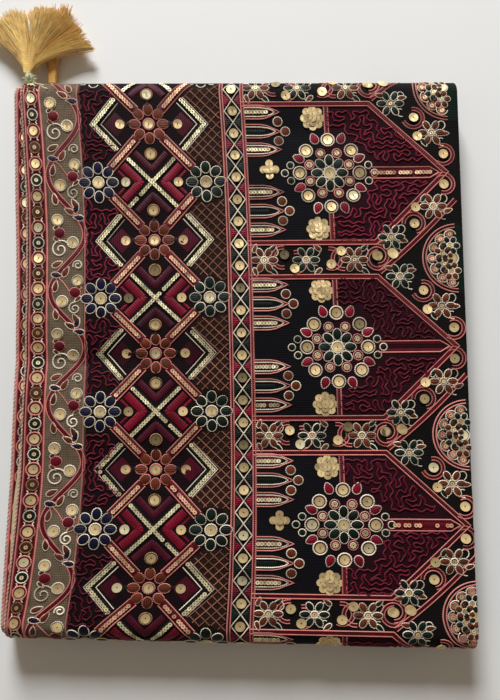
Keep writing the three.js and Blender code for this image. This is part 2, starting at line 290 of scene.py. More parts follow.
class Graph:
    """Places and links the nodes of one tree."""

    def __init__(self, tree: NodeTree) -> None:
        """Starts on an empty tree."""
        self.tree = tree
        tree.nodes.clear()

    def add(self, kind: str, inputs: dict | None = None, **props: object) -> Node:
        """Adds a node.

        Args:
            kind: The node's type name.
            inputs: Values or output sockets for its inputs, by name or index.
            **props: Properties of the node itself.

        Returns:
            The node.
        """
        node = self.tree.nodes.new(kind)
        for name, value in props.items():
            setattr(node, name, value)
        for name, value in (inputs or {}).items():
            socket = node.inputs[name]
            if isinstance(value, NodeSocket):
                self.tree.links.new(value, socket)
            else:
                socket.default_value = value
        return node

    def math(self, operation: str, *values: object) -> NodeSocket:
        """The result of a Math node on sockets or numbers."""
        return self.add("ShaderNodeMath", dict(enumerate(values)), operation=operation).outputs[0]

    def scaled(self, vector: NodeSocket, scale: object) -> NodeSocket:
        """A vector or colour times a number or value socket."""
        return self.add("ShaderNodeVectorMath", {0: vector, "Scale": scale}, operation="SCALE").outputs[0]

    def group(self, tree: NodeTree, **inputs: object) -> NodeOutputs:
        """Places a node group and returns its outputs."""
        return self.add("ShaderNodeGroup", inputs, node_tree=tree).outputs

    def join(self, source: NodeSocket, shader: Node, name: str) -> None:
        """Links a socket to a shader's input."""
        self.tree.links.new(source, shader.inputs[name])

    def bump(self, shader: Node, height: NodeSocket, strength: float, distance: float) -> None:
        """Gives a shader its relief, with the distance in metres."""
        node = self.add("ShaderNodeBump", {"Strength": strength, "Distance": distance, "Height": height})
        self.join(node.outputs[0], shader, "Normal")

    def way(self) -> NodeSocket:
        """The surface coordinates."""
        return self.add("ShaderNodeUVMap", uv_map="UVMap").outputs[0]

    def attribute(self, name: str, output: str = "Fac") -> NodeSocket:
        """One of the mesh's own attributes."""
        return self.add("ShaderNodeAttribute", attribute_name=name).outputs[output]

    def split(self, vector: NodeSocket) -> NodeOutputs:
        """The parts of a vector."""
        return self.add("ShaderNodeSeparateXYZ", {0: vector}).outputs

    def wave(self, turns: NodeSocket, kind: str = "SINE") -> NodeSocket:
        """The height of a row of ridges, one for each unit of a value."""
        return self.math("ABSOLUTE", self.math(kind, self.math("MULTIPLY", turns, math.pi)))

    def noise(self, scale: float, detail: float, place: NodeSocket | None = None) -> NodeSocket:
        """Cloudy noise, over the object's own coordinates unless others are given."""
        if place is None:
            place = self.add("ShaderNodeTexCoord").outputs["Object"]
        inputs = {"Vector": place, "Scale": scale, "Detail": detail}
        return self.add("ShaderNodeTexNoise", inputs).outputs["Fac"]


class Effects:
    """The shader node groups that several finishes share, each built once."""

    def __init__(self) -> None:
        """Builds the groups."""
        self.thread_tone = self._thread_tone()
        self.twisted_ply = self._twisted_ply()
        self.satin_rows = self._satin_rows()
        self.net_weave = self._net_weave()
        self.foil = self._foil()

    @staticmethod
    def _group(name: str, inputs: dict[str, float | tuple], outputs: Sequence[str] = ("Height",)) -> tuple:
        """A new group with its sockets: its graph, its inputs and a function that ends it."""
        tree = bpy.data.node_groups.new(name, "ShaderNodeTree")
        for label, value in inputs.items():
            kind = "Float" if isinstance(value, (int, float)) else "Color" if len(value) == 4 else "Vector"
            socket = tree.interface.new_socket(label, in_out="INPUT", socket_type="NodeSocket" + kind)
            socket.default_value = value
        for label in outputs:
            kind = "Color" if label == "Colour" else "Float"
            tree.interface.new_socket(label, in_out="OUTPUT", socket_type="NodeSocket" + kind)
        graph = Graph(tree)
        given = graph.add("NodeGroupInput").outputs

        def end(**results: NodeSocket) -> NodeTree:
            graph.add("NodeGroupOutput", results)
            return tree

        return graph, given, end

    def _thread_tone(self) -> NodeTree:
        """Colour that varies from stitch to stitch and in soft patches, with painted shade where the relief is
        low, as between the plies.
        """
        inputs = {"Colour": (1, 1, 1, 1), "Tone": 0.5, "Shade": 1.0, "Vary": 0.3, "Depth": 0.4}
        graph, given, end = self._group("thread_tone", inputs, ("Colour",))
        tone = graph.math("MULTIPLY", graph.math("SUBTRACT", given["Tone"], 0.5), given["Vary"])
        # painted shade: the colour darkens where the Shade input is low, as much as Depth says; that input is
        # the relief's height, and on foil its tarnish
        shade = graph.math("MULTIPLY", graph.math("SUBTRACT", given["Shade"], 1.0), given["Depth"])
        worn = graph.math("MULTIPLY", graph.math("SUBTRACT", graph.noise(160.0, 3.0), 0.5), 0.7)
        level = graph.math("ADD", graph.math("ADD", graph.math("ADD", tone, shade), worn), 1.0)
        return end(Colour=graph.scaled(given["Colour"], graph.math("MAXIMUM", level, 0.05)))

    def _twisted_ply(self) -> NodeTree:
        """The slanting plies of a twisted cord, from its length and the way round it."""
        graph, given, end = self._group("twisted_ply", {"Way": (0, 0, 0), "Pitch": 1.4})
        parts = graph.split(given["Way"])
        turns = graph.math("ADD", graph.math("DIVIDE", parts[0], given["Pitch"]), parts[1])
        return end(Height=graph.wave(turns))

    def _satin_rows(self) -> NodeTree:
        """Close rows of satin stitches, a little uneven."""
        graph, given, end = self._group("satin_rows", {"Way": (0, 0, 0), "Pitch": 0.5})
        wander = graph.math("MULTIPLY", graph.noise(0.8, 2.0, given["Way"]), 0.8)
        along = graph.math("ADD", graph.split(given["Way"])[0], wander)
        return end(Height=graph.wave(graph.math("DIVIDE", along, given["Pitch"])))

    def _net_weave(self) -> NodeTree:
        """An open plain net: high on its threads, low in its meshes."""
        graph, given, end = self._group("net_weave", {"Way": (0, 0, 0), "Pitch": 0.9})
        parts = graph.split(given["Way"])
        waves = [graph.wave(graph.math("DIVIDE", parts[i], given["Pitch"]), "COSINE") for i in (0, 1)]
        return end(Height=graph.math("POWER", graph.math("MAXIMUM", *waves), 2.5))

    def _foil(self) -> NodeTree:
        """Pressed foil: faint spokes round the middle, and cloudy tarnish."""
        graph, given, end = self._group("foil", {"Way": (0, 0, 0), "Spokes": 18.0}, ("Height", "Tarnish"))
        parts = graph.split(given["Way"])
        angle = graph.math("ARCTAN2", parts[1], parts[0])
        spokes = graph.math("SINE", graph.math("MULTIPLY", angle, given["Spokes"]))
        return end(Height=spokes, Tarnish=graph.noise(420.0, 2.0))


def new_material(name: str) -> tuple[Material, Graph, Node]:
    """A new node material, its graph and its Principled shader, joined to the output."""
    material = bpy.data.materials.new(name)
    material.use_nodes = True
    graph = Graph(material.node_tree)
    shader = graph.add("ShaderNodeBsdfPrincipled")
    graph.add("ShaderNodeOutputMaterial", {"Surface": shader.outputs[0]})
    return material, graph, shader


@dataclass(frozen=True)
class Finish:
    """The finish of one thread, foil or cloth: a name, a colour as it shows, how it takes the light and how
    much shade is painted in.
    """

    name: str
    colour: tuple[float, float, float]
    roughness: float = 0.55
    specular: float = 0.2
    pitch: float = 1.5
    vary: float = 0.5
    # how far the colour darkens where the relief is low, as painted shade; on foil, where it is tarnished
    depth: float = 0.7
    effect: ClassVar[str] = ""

    def material(self, effects: Effects) -> Material:
        """The finish's material, made once and found again by its name."""
        known = bpy.data.materials.get(self.name)
        if known:
            return known
        material, graph, shader = new_material(self.name)
        shader.inputs["Roughness"].default_value = self.roughness
        shader.inputs["Specular IOR Level"].default_value = self.specular
        self.dress(graph, shader, effects)
        return material

    def dress(self, graph: Graph, shader: Node, effects: Effects) -> None:
        """Gives the shader its colour and relief."""
        relief = self.relief(graph, effects)
        # painted shade: the colour darkens in the low parts of the relief
        self.tint(graph, shader, effects, relief)
        graph.bump(shader, relief, 0.8, 0.0003)

    def relief(self, graph: Graph, effects: Effects) -> NodeSocket:
        """The height of the surface, by the effect that the kind of finish names."""
        return graph.group(getattr(effects, self.effect), Way=graph.way(), Pitch=self.pitch)["Height"]

    def tint(self, graph: Graph, shader: Node, effects: Effects, shade: NodeSocket) -> None:
        """Colours the shader, darker where the shade value is low: painted shade in the relief's low parts, and
        tarnish on foil.
        """
        colour = graph.group(effects.thread_tone, Colour=linear(self.colour), Tone=graph.attribute("tone"),
                             Shade=shade, Vary=self.vary, Depth=self.depth)["Colour"]
        graph.join(colour, shader, "Base Color")


class CordFinish(Finish):
    """Twisted embroidery cord."""

    effect = "twisted_ply"


class SatinFinish(Finish):
    """Close satin stitches."""

    effect = "satin_rows"


class WovenFinish(Finish):
    """Plain weave."""

    effect = "net_weave"


class GroundFinish(WovenFinish):
    """The net ground, whose colour changes from band to band with what is worked densely into it."""

    def dress(self, graph: Graph, shader: Node, effects: Effects) -> None:
        """Takes the colour from the cloth's own attribute, with shade painted into the net's meshes."""
        relief = self.relief(graph, effects)
        # painted shade: the net's colour darkens in its meshes, where its relief is low
        colour = graph.group(effects.thread_tone, Colour=graph.attribute("ground", "Color"), Shade=relief,
                             Vary=0.0, Depth=self.depth)["Colour"]
        graph.join(colour, shader, "Base Color")
        graph.bump(shader, relief, 0.7, 0.0004)


class FoilFinish(Finish):
    """Pressed metallic foil, as sequins are cut from."""

    def dress(self, graph: Graph, shader: Node, effects: Effects) -> None:
        """Metal with spokes and cloudy tarnish."""
        foil = graph.group(effects.foil, Way=graph.way())
        self.tint(graph, shader, effects, foil["Tarnish"])
        rough = graph.math("ADD", graph.math("MULTIPLY", foil["Tarnish"], 0.3), self.roughness - 0.15)
        graph.join(rough, shader, "Roughness")
        shader.inputs["Metallic"].default_value = 0.3
        graph.bump(shader, foil["Height"], 0.35, 0.0001)


PINK = CordFinish("cord_pink", (236, 148, 138), depth=0.45)
CREAM = CordFinish("cord_cream", (255, 242, 218), vary=0.7, depth=0.45)
RED_CORD = CordFinish("cord_red", (150, 30, 50))
MAROON = CordFinish("cord_maroon", (132, 30, 56), vary=0.7)
JAAL = CordFinish("cord_jaal", (172, 118, 96), vary=0.7)
OLD_GOLD = CordFinish("cord_old_gold", (190, 140, 98))
CRIMSON = SatinFinish("satin_crimson", (144, 8, 44), pitch=1.6)
RED = SatinFinish("satin_red", (102, 8, 28), pitch=1.6)
BUD = SatinFinish("satin_bud", (112, 16, 34), pitch=1.4)
PLUM = SatinFinish("satin_plum", (80, 8, 34), pitch=1.6)
RUST = SatinFinish("satin_rust", (112, 50, 26), pitch=1.4)
BROWN = SatinFinish("satin_brown", (84, 42, 26), pitch=1.4)
NAVY = SatinFinish("satin_navy", (13, 14, 50), pitch=1.4)
GREEN = SatinFinish("satin_green", (12, 31, 23), pitch=1.4)
DARK = SatinFinish("satin_dark", (14, 10, 10), pitch=1.4)
GOLD = FoilFinish("foil_gold", (250, 220, 164), roughness=0.42, vary=0.5, depth=0.35)
# pale gold: the own colour of the tapes' sequins, and a painted glint on a few large sequins
PALE_GOLD = FoilFinish("foil_pale_gold", (246, 232, 188), roughness=0.38, vary=0.6, depth=0.25)
PINK_GOLD = FoilFinish("foil_pink_gold", (252, 200, 162), roughness=0.4, vary=0.6, depth=0.25)
TARNISHED = FoilFinish("foil_tarnished", (150, 134, 98), roughness=0.5, vary=0.4, depth=0.4)
GROUND = GroundFinish("net_ground", (40, 16, 22), roughness=0.85, specular=0.15, pitch=1.3, depth=0.75)
HIDDEN = WovenFinish("net_hidden", (66, 22, 32), roughness=0.85, specular=0.15, pitch=0.9, depth=0.5)
TAPE = WovenFinish("woven_tape", (226, 208, 168), roughness=0.75, pitch=0.7, depth=0.35)
RAYON = CordFinish("rayon_gold", (255, 219, 138), roughness=0.3, specular=0.9, vary=0.3, depth=0.05)
RAYON_DEEP = CordFinish("rayon_brown_gold", (255, 198, 110), roughness=0.3, specular=0.9, vary=0.4, depth=0.05)
TINSEL = CordFinish("tinsel_lime", (246, 246, 204), roughness=0.35, specular=0.5, pitch=0.8, vary=0.6,
                    depth=0.4)


# ---- Paths in cloth space --------------------------------------------------------------------------------
def arc(radius: float, start: float, end: float, steps: int) -> Array:
    """Points of an arc about the origin from one angle to another, in degrees from +u towards +v."""
    angles = np.radians(np.linspace(start, end, steps + 1))
    return np.stack([radius * np.cos(angles), radius * np.sin(angles)], 1)


def ring(radius: float) -> Array:
    """Points of a circle, each once."""
    return arc(radius, 0, 360, max(8, round(radius * 3)))[:-1]


def roundel(radius: float) -> Array:
    """The outline of a round pad."""
    return arc(radius, 0, 330, 11)


def curl(outer: float, inner: float, start: float, sweep: float) -> Array:
    """A spiral about the origin that closes in from one radius to another."""
    count = max(8, round(abs(sweep) / 20))
    share = np.linspace(0, 1, count + 1)
    radius = outer + (inner - outer) * share
    angle = np.radians(start + sweep * share)
    return np.stack([radius * np.cos(angle), radius * np.sin(angle)], 1)


def leaf(length: float, width: float, point: float = 0.0) -> Array:
    """The outline of a petal or leaf along +u, from the origin; point sharpens its far end."""
    angle = np.linspace(0, 2 * math.pi, 13)[:-1] + math.pi / 12
    along = (1 + np.cos(angle)) / 2
    side = np.sin(angle) * (1 - point * along ** 2)
    return np.stack([along * length, side * width / 2], 1)


def smooth(path: Array, rounds: int, closed: bool = False) -> Array:
    """A path with its corners cut, more finely with each round."""
    for _ in range(rounds):
        ahead = np.roll(path, -1, 0)
        cut = np.stack([0.75 * path + 0.25 * ahead, 0.25 * path + 0.75 * ahead], 1).reshape(-1, 2)
        path = cut if closed else np.vstack([path[:1], cut[1:-3], path[-1:]])
    return path


def offset(path: Array, distance: float) -> Array:
    """A path moved sideways, to its left, with mitred corners."""
    points = np.asarray(path, float)
    way = np.diff(points, axis=0)
    way /= np.maximum(np.linalg.norm(way, axis=1, keepdims=True), 1e-9)
    side = np.stack([-way[:, 1], way[:, 0]], 1)
    before, after = np.vstack([side[:1], side]), np.vstack([side, side[-1:]])
    middle = before + after
    reach = np.maximum(np.sum(middle * after, 1, keepdims=True), 0.4)
    return points + distance * middle / reach


def dense(path: Array, step: float, closed: bool = False) -> Array:
    """A path with points added so that none of its steps is longer than the given one."""
    points = np.asarray(path, float)
    starts, ends = (points, np.roll(points, -1, 0)) if closed else (points[:-1], points[1:])
    pieces = []
    for start, end in zip(starts, ends):
        count = max(1, math.ceil(float(np.hypot(*(end - start))) / step))
        pieces.append(start + (end - start) * (np.arange(count) / count)[:, None])
    return np.vstack(pieces + ([] if closed else [points[-1:]]))


def stretches(mask: Array) -> Array:
    """The first number and the one past the last of each stretch of more than two that a mask lets through."""
    ends = np.flatnonzero(np.diff(np.concatenate([[0], mask.astype(int), [0]]))).reshape(-1, 2)
    return ends[ends[:, 1] - ends[:, 0] > 2]


def meander(region: Field, box: Sequence[float], cell: float, seed: int) -> list[Array]:
    """Closed wandering lines that fill a region without ever crossing.

    Each goes once round a random tree of cells, so that neighbouring runs lie half a cell apart.

    Args:
        region: Tells which points (u, v) belong.
        box: Lowest u, highest u, lowest v, highest v.
        cell: Width of a cell.
        seed: Seed of the random tree.

    Returns:
        Closed paths.
    """
    rng = random.Random(seed)
    low_u, high_u, low_v, high_v = box
    columns, rows = int((high_u - low_u) / cell), int((high_v - low_v) / cell)
    middle = lambda i, j: (low_u + (i + 0.5) * cell, low_v + (j + 0.5) * cell)
    cells = {(i, j) for i in range(columns) for j in range(rows) if bool(region(*map(np.array, middle(i, j))))}
    links, paths, left = defaultdict(set), [], set(cells)
    while left:
        root = min(left)
        stack, left = [root], left - {root}
        while stack:
            pick = len(stack) - 1 if rng.random() < 0.5 else rng.randrange(len(stack))
            i, j = stack[pick]
            ways = [c for c in ((i + 1, j), (i - 1, j), (i, j + 1), (i, j - 1)) if c in left]
            if not ways:
                stack.pop(pick)
                continue
            chosen = rng.choice(ways)
            links[(i, j)].add(chosen)
            links[chosen].add((i, j))
            left.discard(chosen)
            stack.append(chosen)
    knots = {}
    for i, j in cells:
        joined = {(c[0] - i, c[1] - j) for c in links[(i, j)]}
        corners = [(0, 0), (1, 0), (1, 1), (0, 1)]  # anticlockwise, each with the side it faces along
        sides = [(0, -1), (1, 0), (0, 1), (-1, 0)]
        for k, (corner, side) in enumerate(zip(corners, sides)):
            here = (2 * i + corner[0], 2 * j + corner[1])
            if side in joined:  # step over into the neighbour instead of along this side
                knots[here] = (here[0] + side[0], here[1] + side[1])
            else:
                following = corners[(k + 1) % 4]
                knots[here] = (2 * i + following[0], 2 * j + following[1])
    open_knots = set(knots)
    while open_knots:
        start = min(open_knots)
        here, route = start, []
        while here in open_knots:
            open_knots.discard(here)
            route.append(here)
            here = knots[here]
        if len(route) > 4:
            points = [(low_u + (a + 0.5 + rng.uniform(-0.3, 0.3)) * cell / 2,
                       low_v + (b + 0.5 + rng.uniform(-0.3, 0.3)) * cell / 2) for a, b in route]
            path = smooth(np.array(points), 2, closed=True)
            paths.append(path + 0.75 * np.sin(path[:, ::-1] * 0.85 + path * (0.25, -0.25)))
    return paths


# ---- Threads, foil and satin -----------------------------------------------------------------------------
class Section(Enum):
    """A thread's section: its height for its half-width, how far it reaches below its middle, and its sides."""

    CORD = (1.0, 0.4, 5)
    SATIN = (0.16, 0.06, 8)
    STRAND = (1.0, 1.0, 4)


class Sequin(Enum):
    """A sequin's radius, the radius of its hole, its sides and how far it is cupped, in millimetres."""

    LARGE = (3.6, 0.5, 14, 0.22)
    MEDIUM = (3.0, 0.42, 12, 0.18)
    SMALL = (1.6, 0.5, 8, 0.1)


class Thread(NamedTuple):
    """One path to sweep, in metres, with the way its top faces, its half-width and its tone."""

    points: Array
    up: Array
    thick: float
    tone: float
    closed: bool = False


def upright(count: int) -> Array:
    """The way up, once for each point of a path."""
    return np.tile((0.0, 0.0, 1.0), (count, 1))


def in_scene(name: str, data: ID) -> Object:
    """A new object in the scene."""
    made = bpy.data.objects.new(name, data)
    bpy.context.scene.collection.objects.link(made)
    return made


def mesh_of(bm: bmesh.types.BMesh, name: str) -> Mesh:
    """A new mesh with the shape of a bmesh, which is then freed."""
    mesh = bpy.data.meshes.new(name)
    bm.to_mesh(mesh)
    bm.free()
    return mesh


def points_of(mesh: Mesh) -> Array:
    """The places of a mesh's vertices, one in each row."""
    points = np.empty(len(mesh.vertices) * 3)
    mesh.vertices.foreach_get("co", points)
    return points.reshape(-1, 3)


def shaped(mesh: Mesh, crisp: float = 50.0) -> Mesh:
    """Turns a closed mesh's faces outwards and shades it smooth, except over edges sharper than an angle."""
    mesh.calc_loop_triangles()
    corners = np.empty(len(mesh.loop_triangles) * 3, int)
    mesh.loop_triangles.foreach_get("vertices", corners)
    a, b, c = points_of(mesh)[corners.reshape(-1, 3)].transpose(1, 0, 2)
    if np.einsum("ij,ij->i", a, np.cross(b, c)).sum() < 0:
        mesh.flip_normals()
    mesh.shade_smooth()
    mesh.set_sharp_from_angle(angle=math.radians(crisp))
    return mesh


def with_attributes(mesh: Mesh, way: Array, tone: Array, ground: Array | None = None) -> Mesh:
    """Stores a mesh's surface coordinates, tones and, if given, ground colours, all for its vertices."""
    corners = np.empty(len(mesh.loops), int)
    mesh.loops.foreach_get("vertex_index", corners)
    mesh.uv_layers.new(name="UVMap").data.foreach_set("uv", way[corners].ravel())
    mesh.attributes.new("tone", "FLOAT", "POINT").data.foreach_set("value", tone)
    if ground is not None:
        mesh.attributes.new("ground", "FLOAT_COLOR", "POINT").data.foreach_set("color", ground.ravel())
    return mesh


class Loom:
    """Sweeps thread sections along paths with Geometry Nodes."""

    def __init__(self) -> None:
        """Builds a node tree for each section."""
        self.trees = {section: self._tree(section) for section in Section}

    @staticmethod
    def _kept(graph: Graph, geometry: NodeSocket, output: str) -> tuple:
        """A curve with one of its spline parameters captured, and that parameter."""
        node = graph.add("GeometryNodeCaptureAttribute", {"Geometry": geometry})
        node.capture_items.new("FLOAT", "kept")
        graph.tree.links.new(graph.add("GeometryNodeSplineParameter").outputs[output], node.inputs["kept"])
        return node.outputs[0], node.outputs["kept"]

    def _tree(self, section: Section) -> NodeTree:
        """The node tree that sweeps one section along every path of a wire mesh."""
        tall, low, sides = section.value
        tree = bpy.data.node_groups.new("sweep_" + section.name.lower(), "GeometryNodeTree")
        tree.interface.new_socket("Paths", in_out="INPUT", socket_type="NodeSocketGeometry")
        tree.interface.new_socket("Threads", in_out="OUTPUT", socket_type="NodeSocketGeometry")
        graph = Graph(tree)
        given = graph.add("NodeGroupInput").outputs[0]
        paths = graph.add("GeometryNodeMeshToCurve", {"Mesh": given}).outputs[0]
        up = graph.add("GeometryNodeInputNamedAttribute", {"Name": "up"}, data_type="FLOAT_VECTOR")
        thick = graph.add("GeometryNodeInputNamedAttribute", {"Name": "thick"}, data_type="FLOAT")
        facing = graph.add("GeometryNodeSetCurveNormal", {"Curve": paths, "Normal": up.outputs["Attribute"]},
                           mode="FREE")
        curve, along = self._kept(graph, facing.outputs[0], "Length")
        circle = graph.add("GeometryNodeCurvePrimitiveCircle", {"Resolution": sides, "Radius": 1.0})
        place = graph.add("GeometryNodeInputPosition").outputs[0]
        squashed = graph.add("ShaderNodeVectorMath", {0: place, 1: (tall, 1.0, 1.0)}, operation="MULTIPLY")
        cut = graph.add("ShaderNodeVectorMath", {0: squashed.outputs[0], 1: (-low, -9.0, -9.0)},
                        operation="MAXIMUM")
        outline = graph.add("GeometryNodeSetPosition", {
            "Geometry": circle.outputs[0], "Position": cut.outputs[0]})
        profile, around = self._kept(graph, outline.outputs[0], "Factor")
        swept = graph.add("GeometryNodeCurveToMesh", {
            "Curve": curve, "Profile Curve": profile, "Scale": thick.outputs["Attribute"], "Fill Caps": True})
        way = graph.add("ShaderNodeCombineXYZ", {0: graph.math("DIVIDE", along, MM), 1: around})
        stored = graph.add("GeometryNodeStoreNamedAttribute", {
            "Geometry": swept.outputs[0], "Name": "UVMap", "Value": way.outputs[0]},
            data_type="FLOAT2", domain="CORNER")
        graph.add("NodeGroupOutput", {0: stored.outputs[0]})
        return tree

    def sweep(self, name: str, section: Section, threads: Sequence[Thread]) -> Mesh:
        """Sweeps a section along threads.

        Args:
            name: Name of the new mesh.
            section: The section.
            threads: The paths.

        Returns:
            One mesh with all of them, with surface coordinates in millimetres along and a share around.
        """
        counts = np.array([len(thread.points) for thread in threads])
        starts = np.cumsum(counts) - counts
        edges = [(i, i + 1) for start, count in zip(starts, counts) for i in range(start, start + count - 1)]
        edges += [(start + count - 1, start) for start, count, thread in zip(starts, counts, threads)
                  if thread.closed]
        wire = bpy.data.meshes.new(name + "_paths")
        wire.from_pydata(np.vstack([thread.points for thread in threads]).tolist(), edges, [])
        up = np.vstack([thread.up for thread in threads])
        wire.attributes.new("up", "FLOAT_VECTOR", "POINT").data.foreach_set("vector", up.ravel())
        for label in ("thick", "tone"):
            values = np.repeat([getattr(thread, label) for thread in threads], counts)
            wire.attributes.new(label, "FLOAT", "POINT").data.foreach_set("value", values)
        holder = in_scene(name + "_paths", wire)
        holder.modifiers.new("sweep", "NODES").node_group = self.trees[section]
        mesh = bpy.data.meshes.new_from_object(holder.evaluated_get(bpy.context.evaluated_depsgraph_get()))
        bpy.data.objects.remove(holder)
        bpy.data.meshes.remove(wire)
        mesh.name = name
        return shaped(mesh)


@dataclass
class Prototype:
    """A small shape to be repeated: its points, and its faces as lists of point numbers."""

    points: Array
    faces: list[list[int]]

    @classmethod
    def from_bmesh(cls, bm: bmesh.types.BMesh) -> "Prototype":
        """Takes the shape out of a bmesh, which is then freed."""
        bm.verts.index_update()
        points = np.array([vert.co[:] for vert in bm.verts])
        faces = [[vert.index for vert in face.verts] for face in bm.faces]
        bm.free()
        return cls(points, faces)

    @classmethod
    def sequin(cls, kind: Sequin) -> "Prototype":
        """A thin cupped disc with a hole."""
        radius, hole, sides, cup = kind.value
        bm = bmesh.new()
        bmesh.ops.create_circle(bm, cap_ends=True, segments=sides, radius=radius)
        disc = bm.faces[:]
        if kind is Sequin.LARGE:
            bmesh.ops.inset_region(bm, faces=disc, thickness=radius * 0.4, depth=-cup, use_boundary=True)
            radius *= 0.6
        bmesh.ops.inset_region(bm, faces=disc, thickness=radius - hole, depth=-cup / 3, use_boundary=True)
        bmesh.ops.delete(bm, geom=disc, context="FACES_ONLY")
        bmesh.ops.solidify(bm, geom=bm.faces[:], thickness=0.14)
        bmesh.ops.recalc_face_normals(bm, faces=bm.faces[:])
        return cls.from_bmesh(bm)

    @classmethod
    def pad(cls, sides: int) -> "Prototype":
        """A domed pad of unit radius and height, which patches of satin are shaped from."""
        bm = bmesh.new()
        bmesh.ops.create_cone(bm, cap_ends=True, segments=sides, radius1=1, radius2=1, depth=0.4)
        bmesh.ops.translate(bm, verts=bm.verts[:], vec=(0, 0, 0.2))
        top = [face for face in bm.faces if face.calc_center_median().z > 0.39]
        bmesh.ops.inset_region(bm, faces=top, thickness=0.3, depth=0.45, use_boundary=True)
        crown = bmesh.ops.poke(bm, faces=top)["verts"]
        bmesh.ops.translate(bm, verts=crown, vec=(0, 0, 0.15))
        bmesh.ops.recalc_face_normals(bm, faces=bm.faces[:])
        return cls.from_bmesh(bm)


@dataclass(frozen=True)
class Spot:
    """A place on the cloth with a turn, in degrees, from which small shapes are set out."""

    u: float
    v: float
    turn: float = 0.0

    def at(self, path: Sequence) -> Array:
        """A path of this spot's own frame, in cloth space."""
        cos, sin = cos_sin(self.turn)
        return np.asarray(path, float).reshape(-1, 2) @ np.array([[cos, sin], [-sin, cos]]) + (self.u, self.v)

    def turned(self, angle: float) -> "Spot":
        """The same spot, turned further."""
        return Spot(self.u, self.v, self.turn + angle)

    def shifted(self, u: float, v: float, turn: float = 0.0) -> "Spot":
        """A spot at a place of this one's frame."""
        centre = self.at([(u, v)])[0]
        return Spot(float(centre[0]), float(centre[1]), self.turn + turn)

    def toward(self, angle: float, distance: float, turn: float = 0.0) -> "Spot":
        """A spot at a distance in one direction of this one's frame."""
        cos, sin = cos_sin(angle)
        return self.shifted(distance * cos, distance * sin, turn)


PAD_SIDES = 12


def padded_outline(outline: Array) -> Array:
    """An outline with points added along its sides until it has as many as a pad, running anticlockwise."""
    corners = np.asarray(outline, float)
    following = np.roll(corners, -1, 0)
    if np.sum(corners[:, 0] * following[:, 1] - following[:, 0] * corners[:, 1]) < 0:
        corners = corners[::-1]
        following = np.roll(corners, -1, 0)
    share = np.arange(PAD_SIDES // len(corners)) / (PAD_SIDES // len(corners))
    return (corners[:, None] + (following - corners)[:, None] * share[:, None]).reshape(-1, 2)


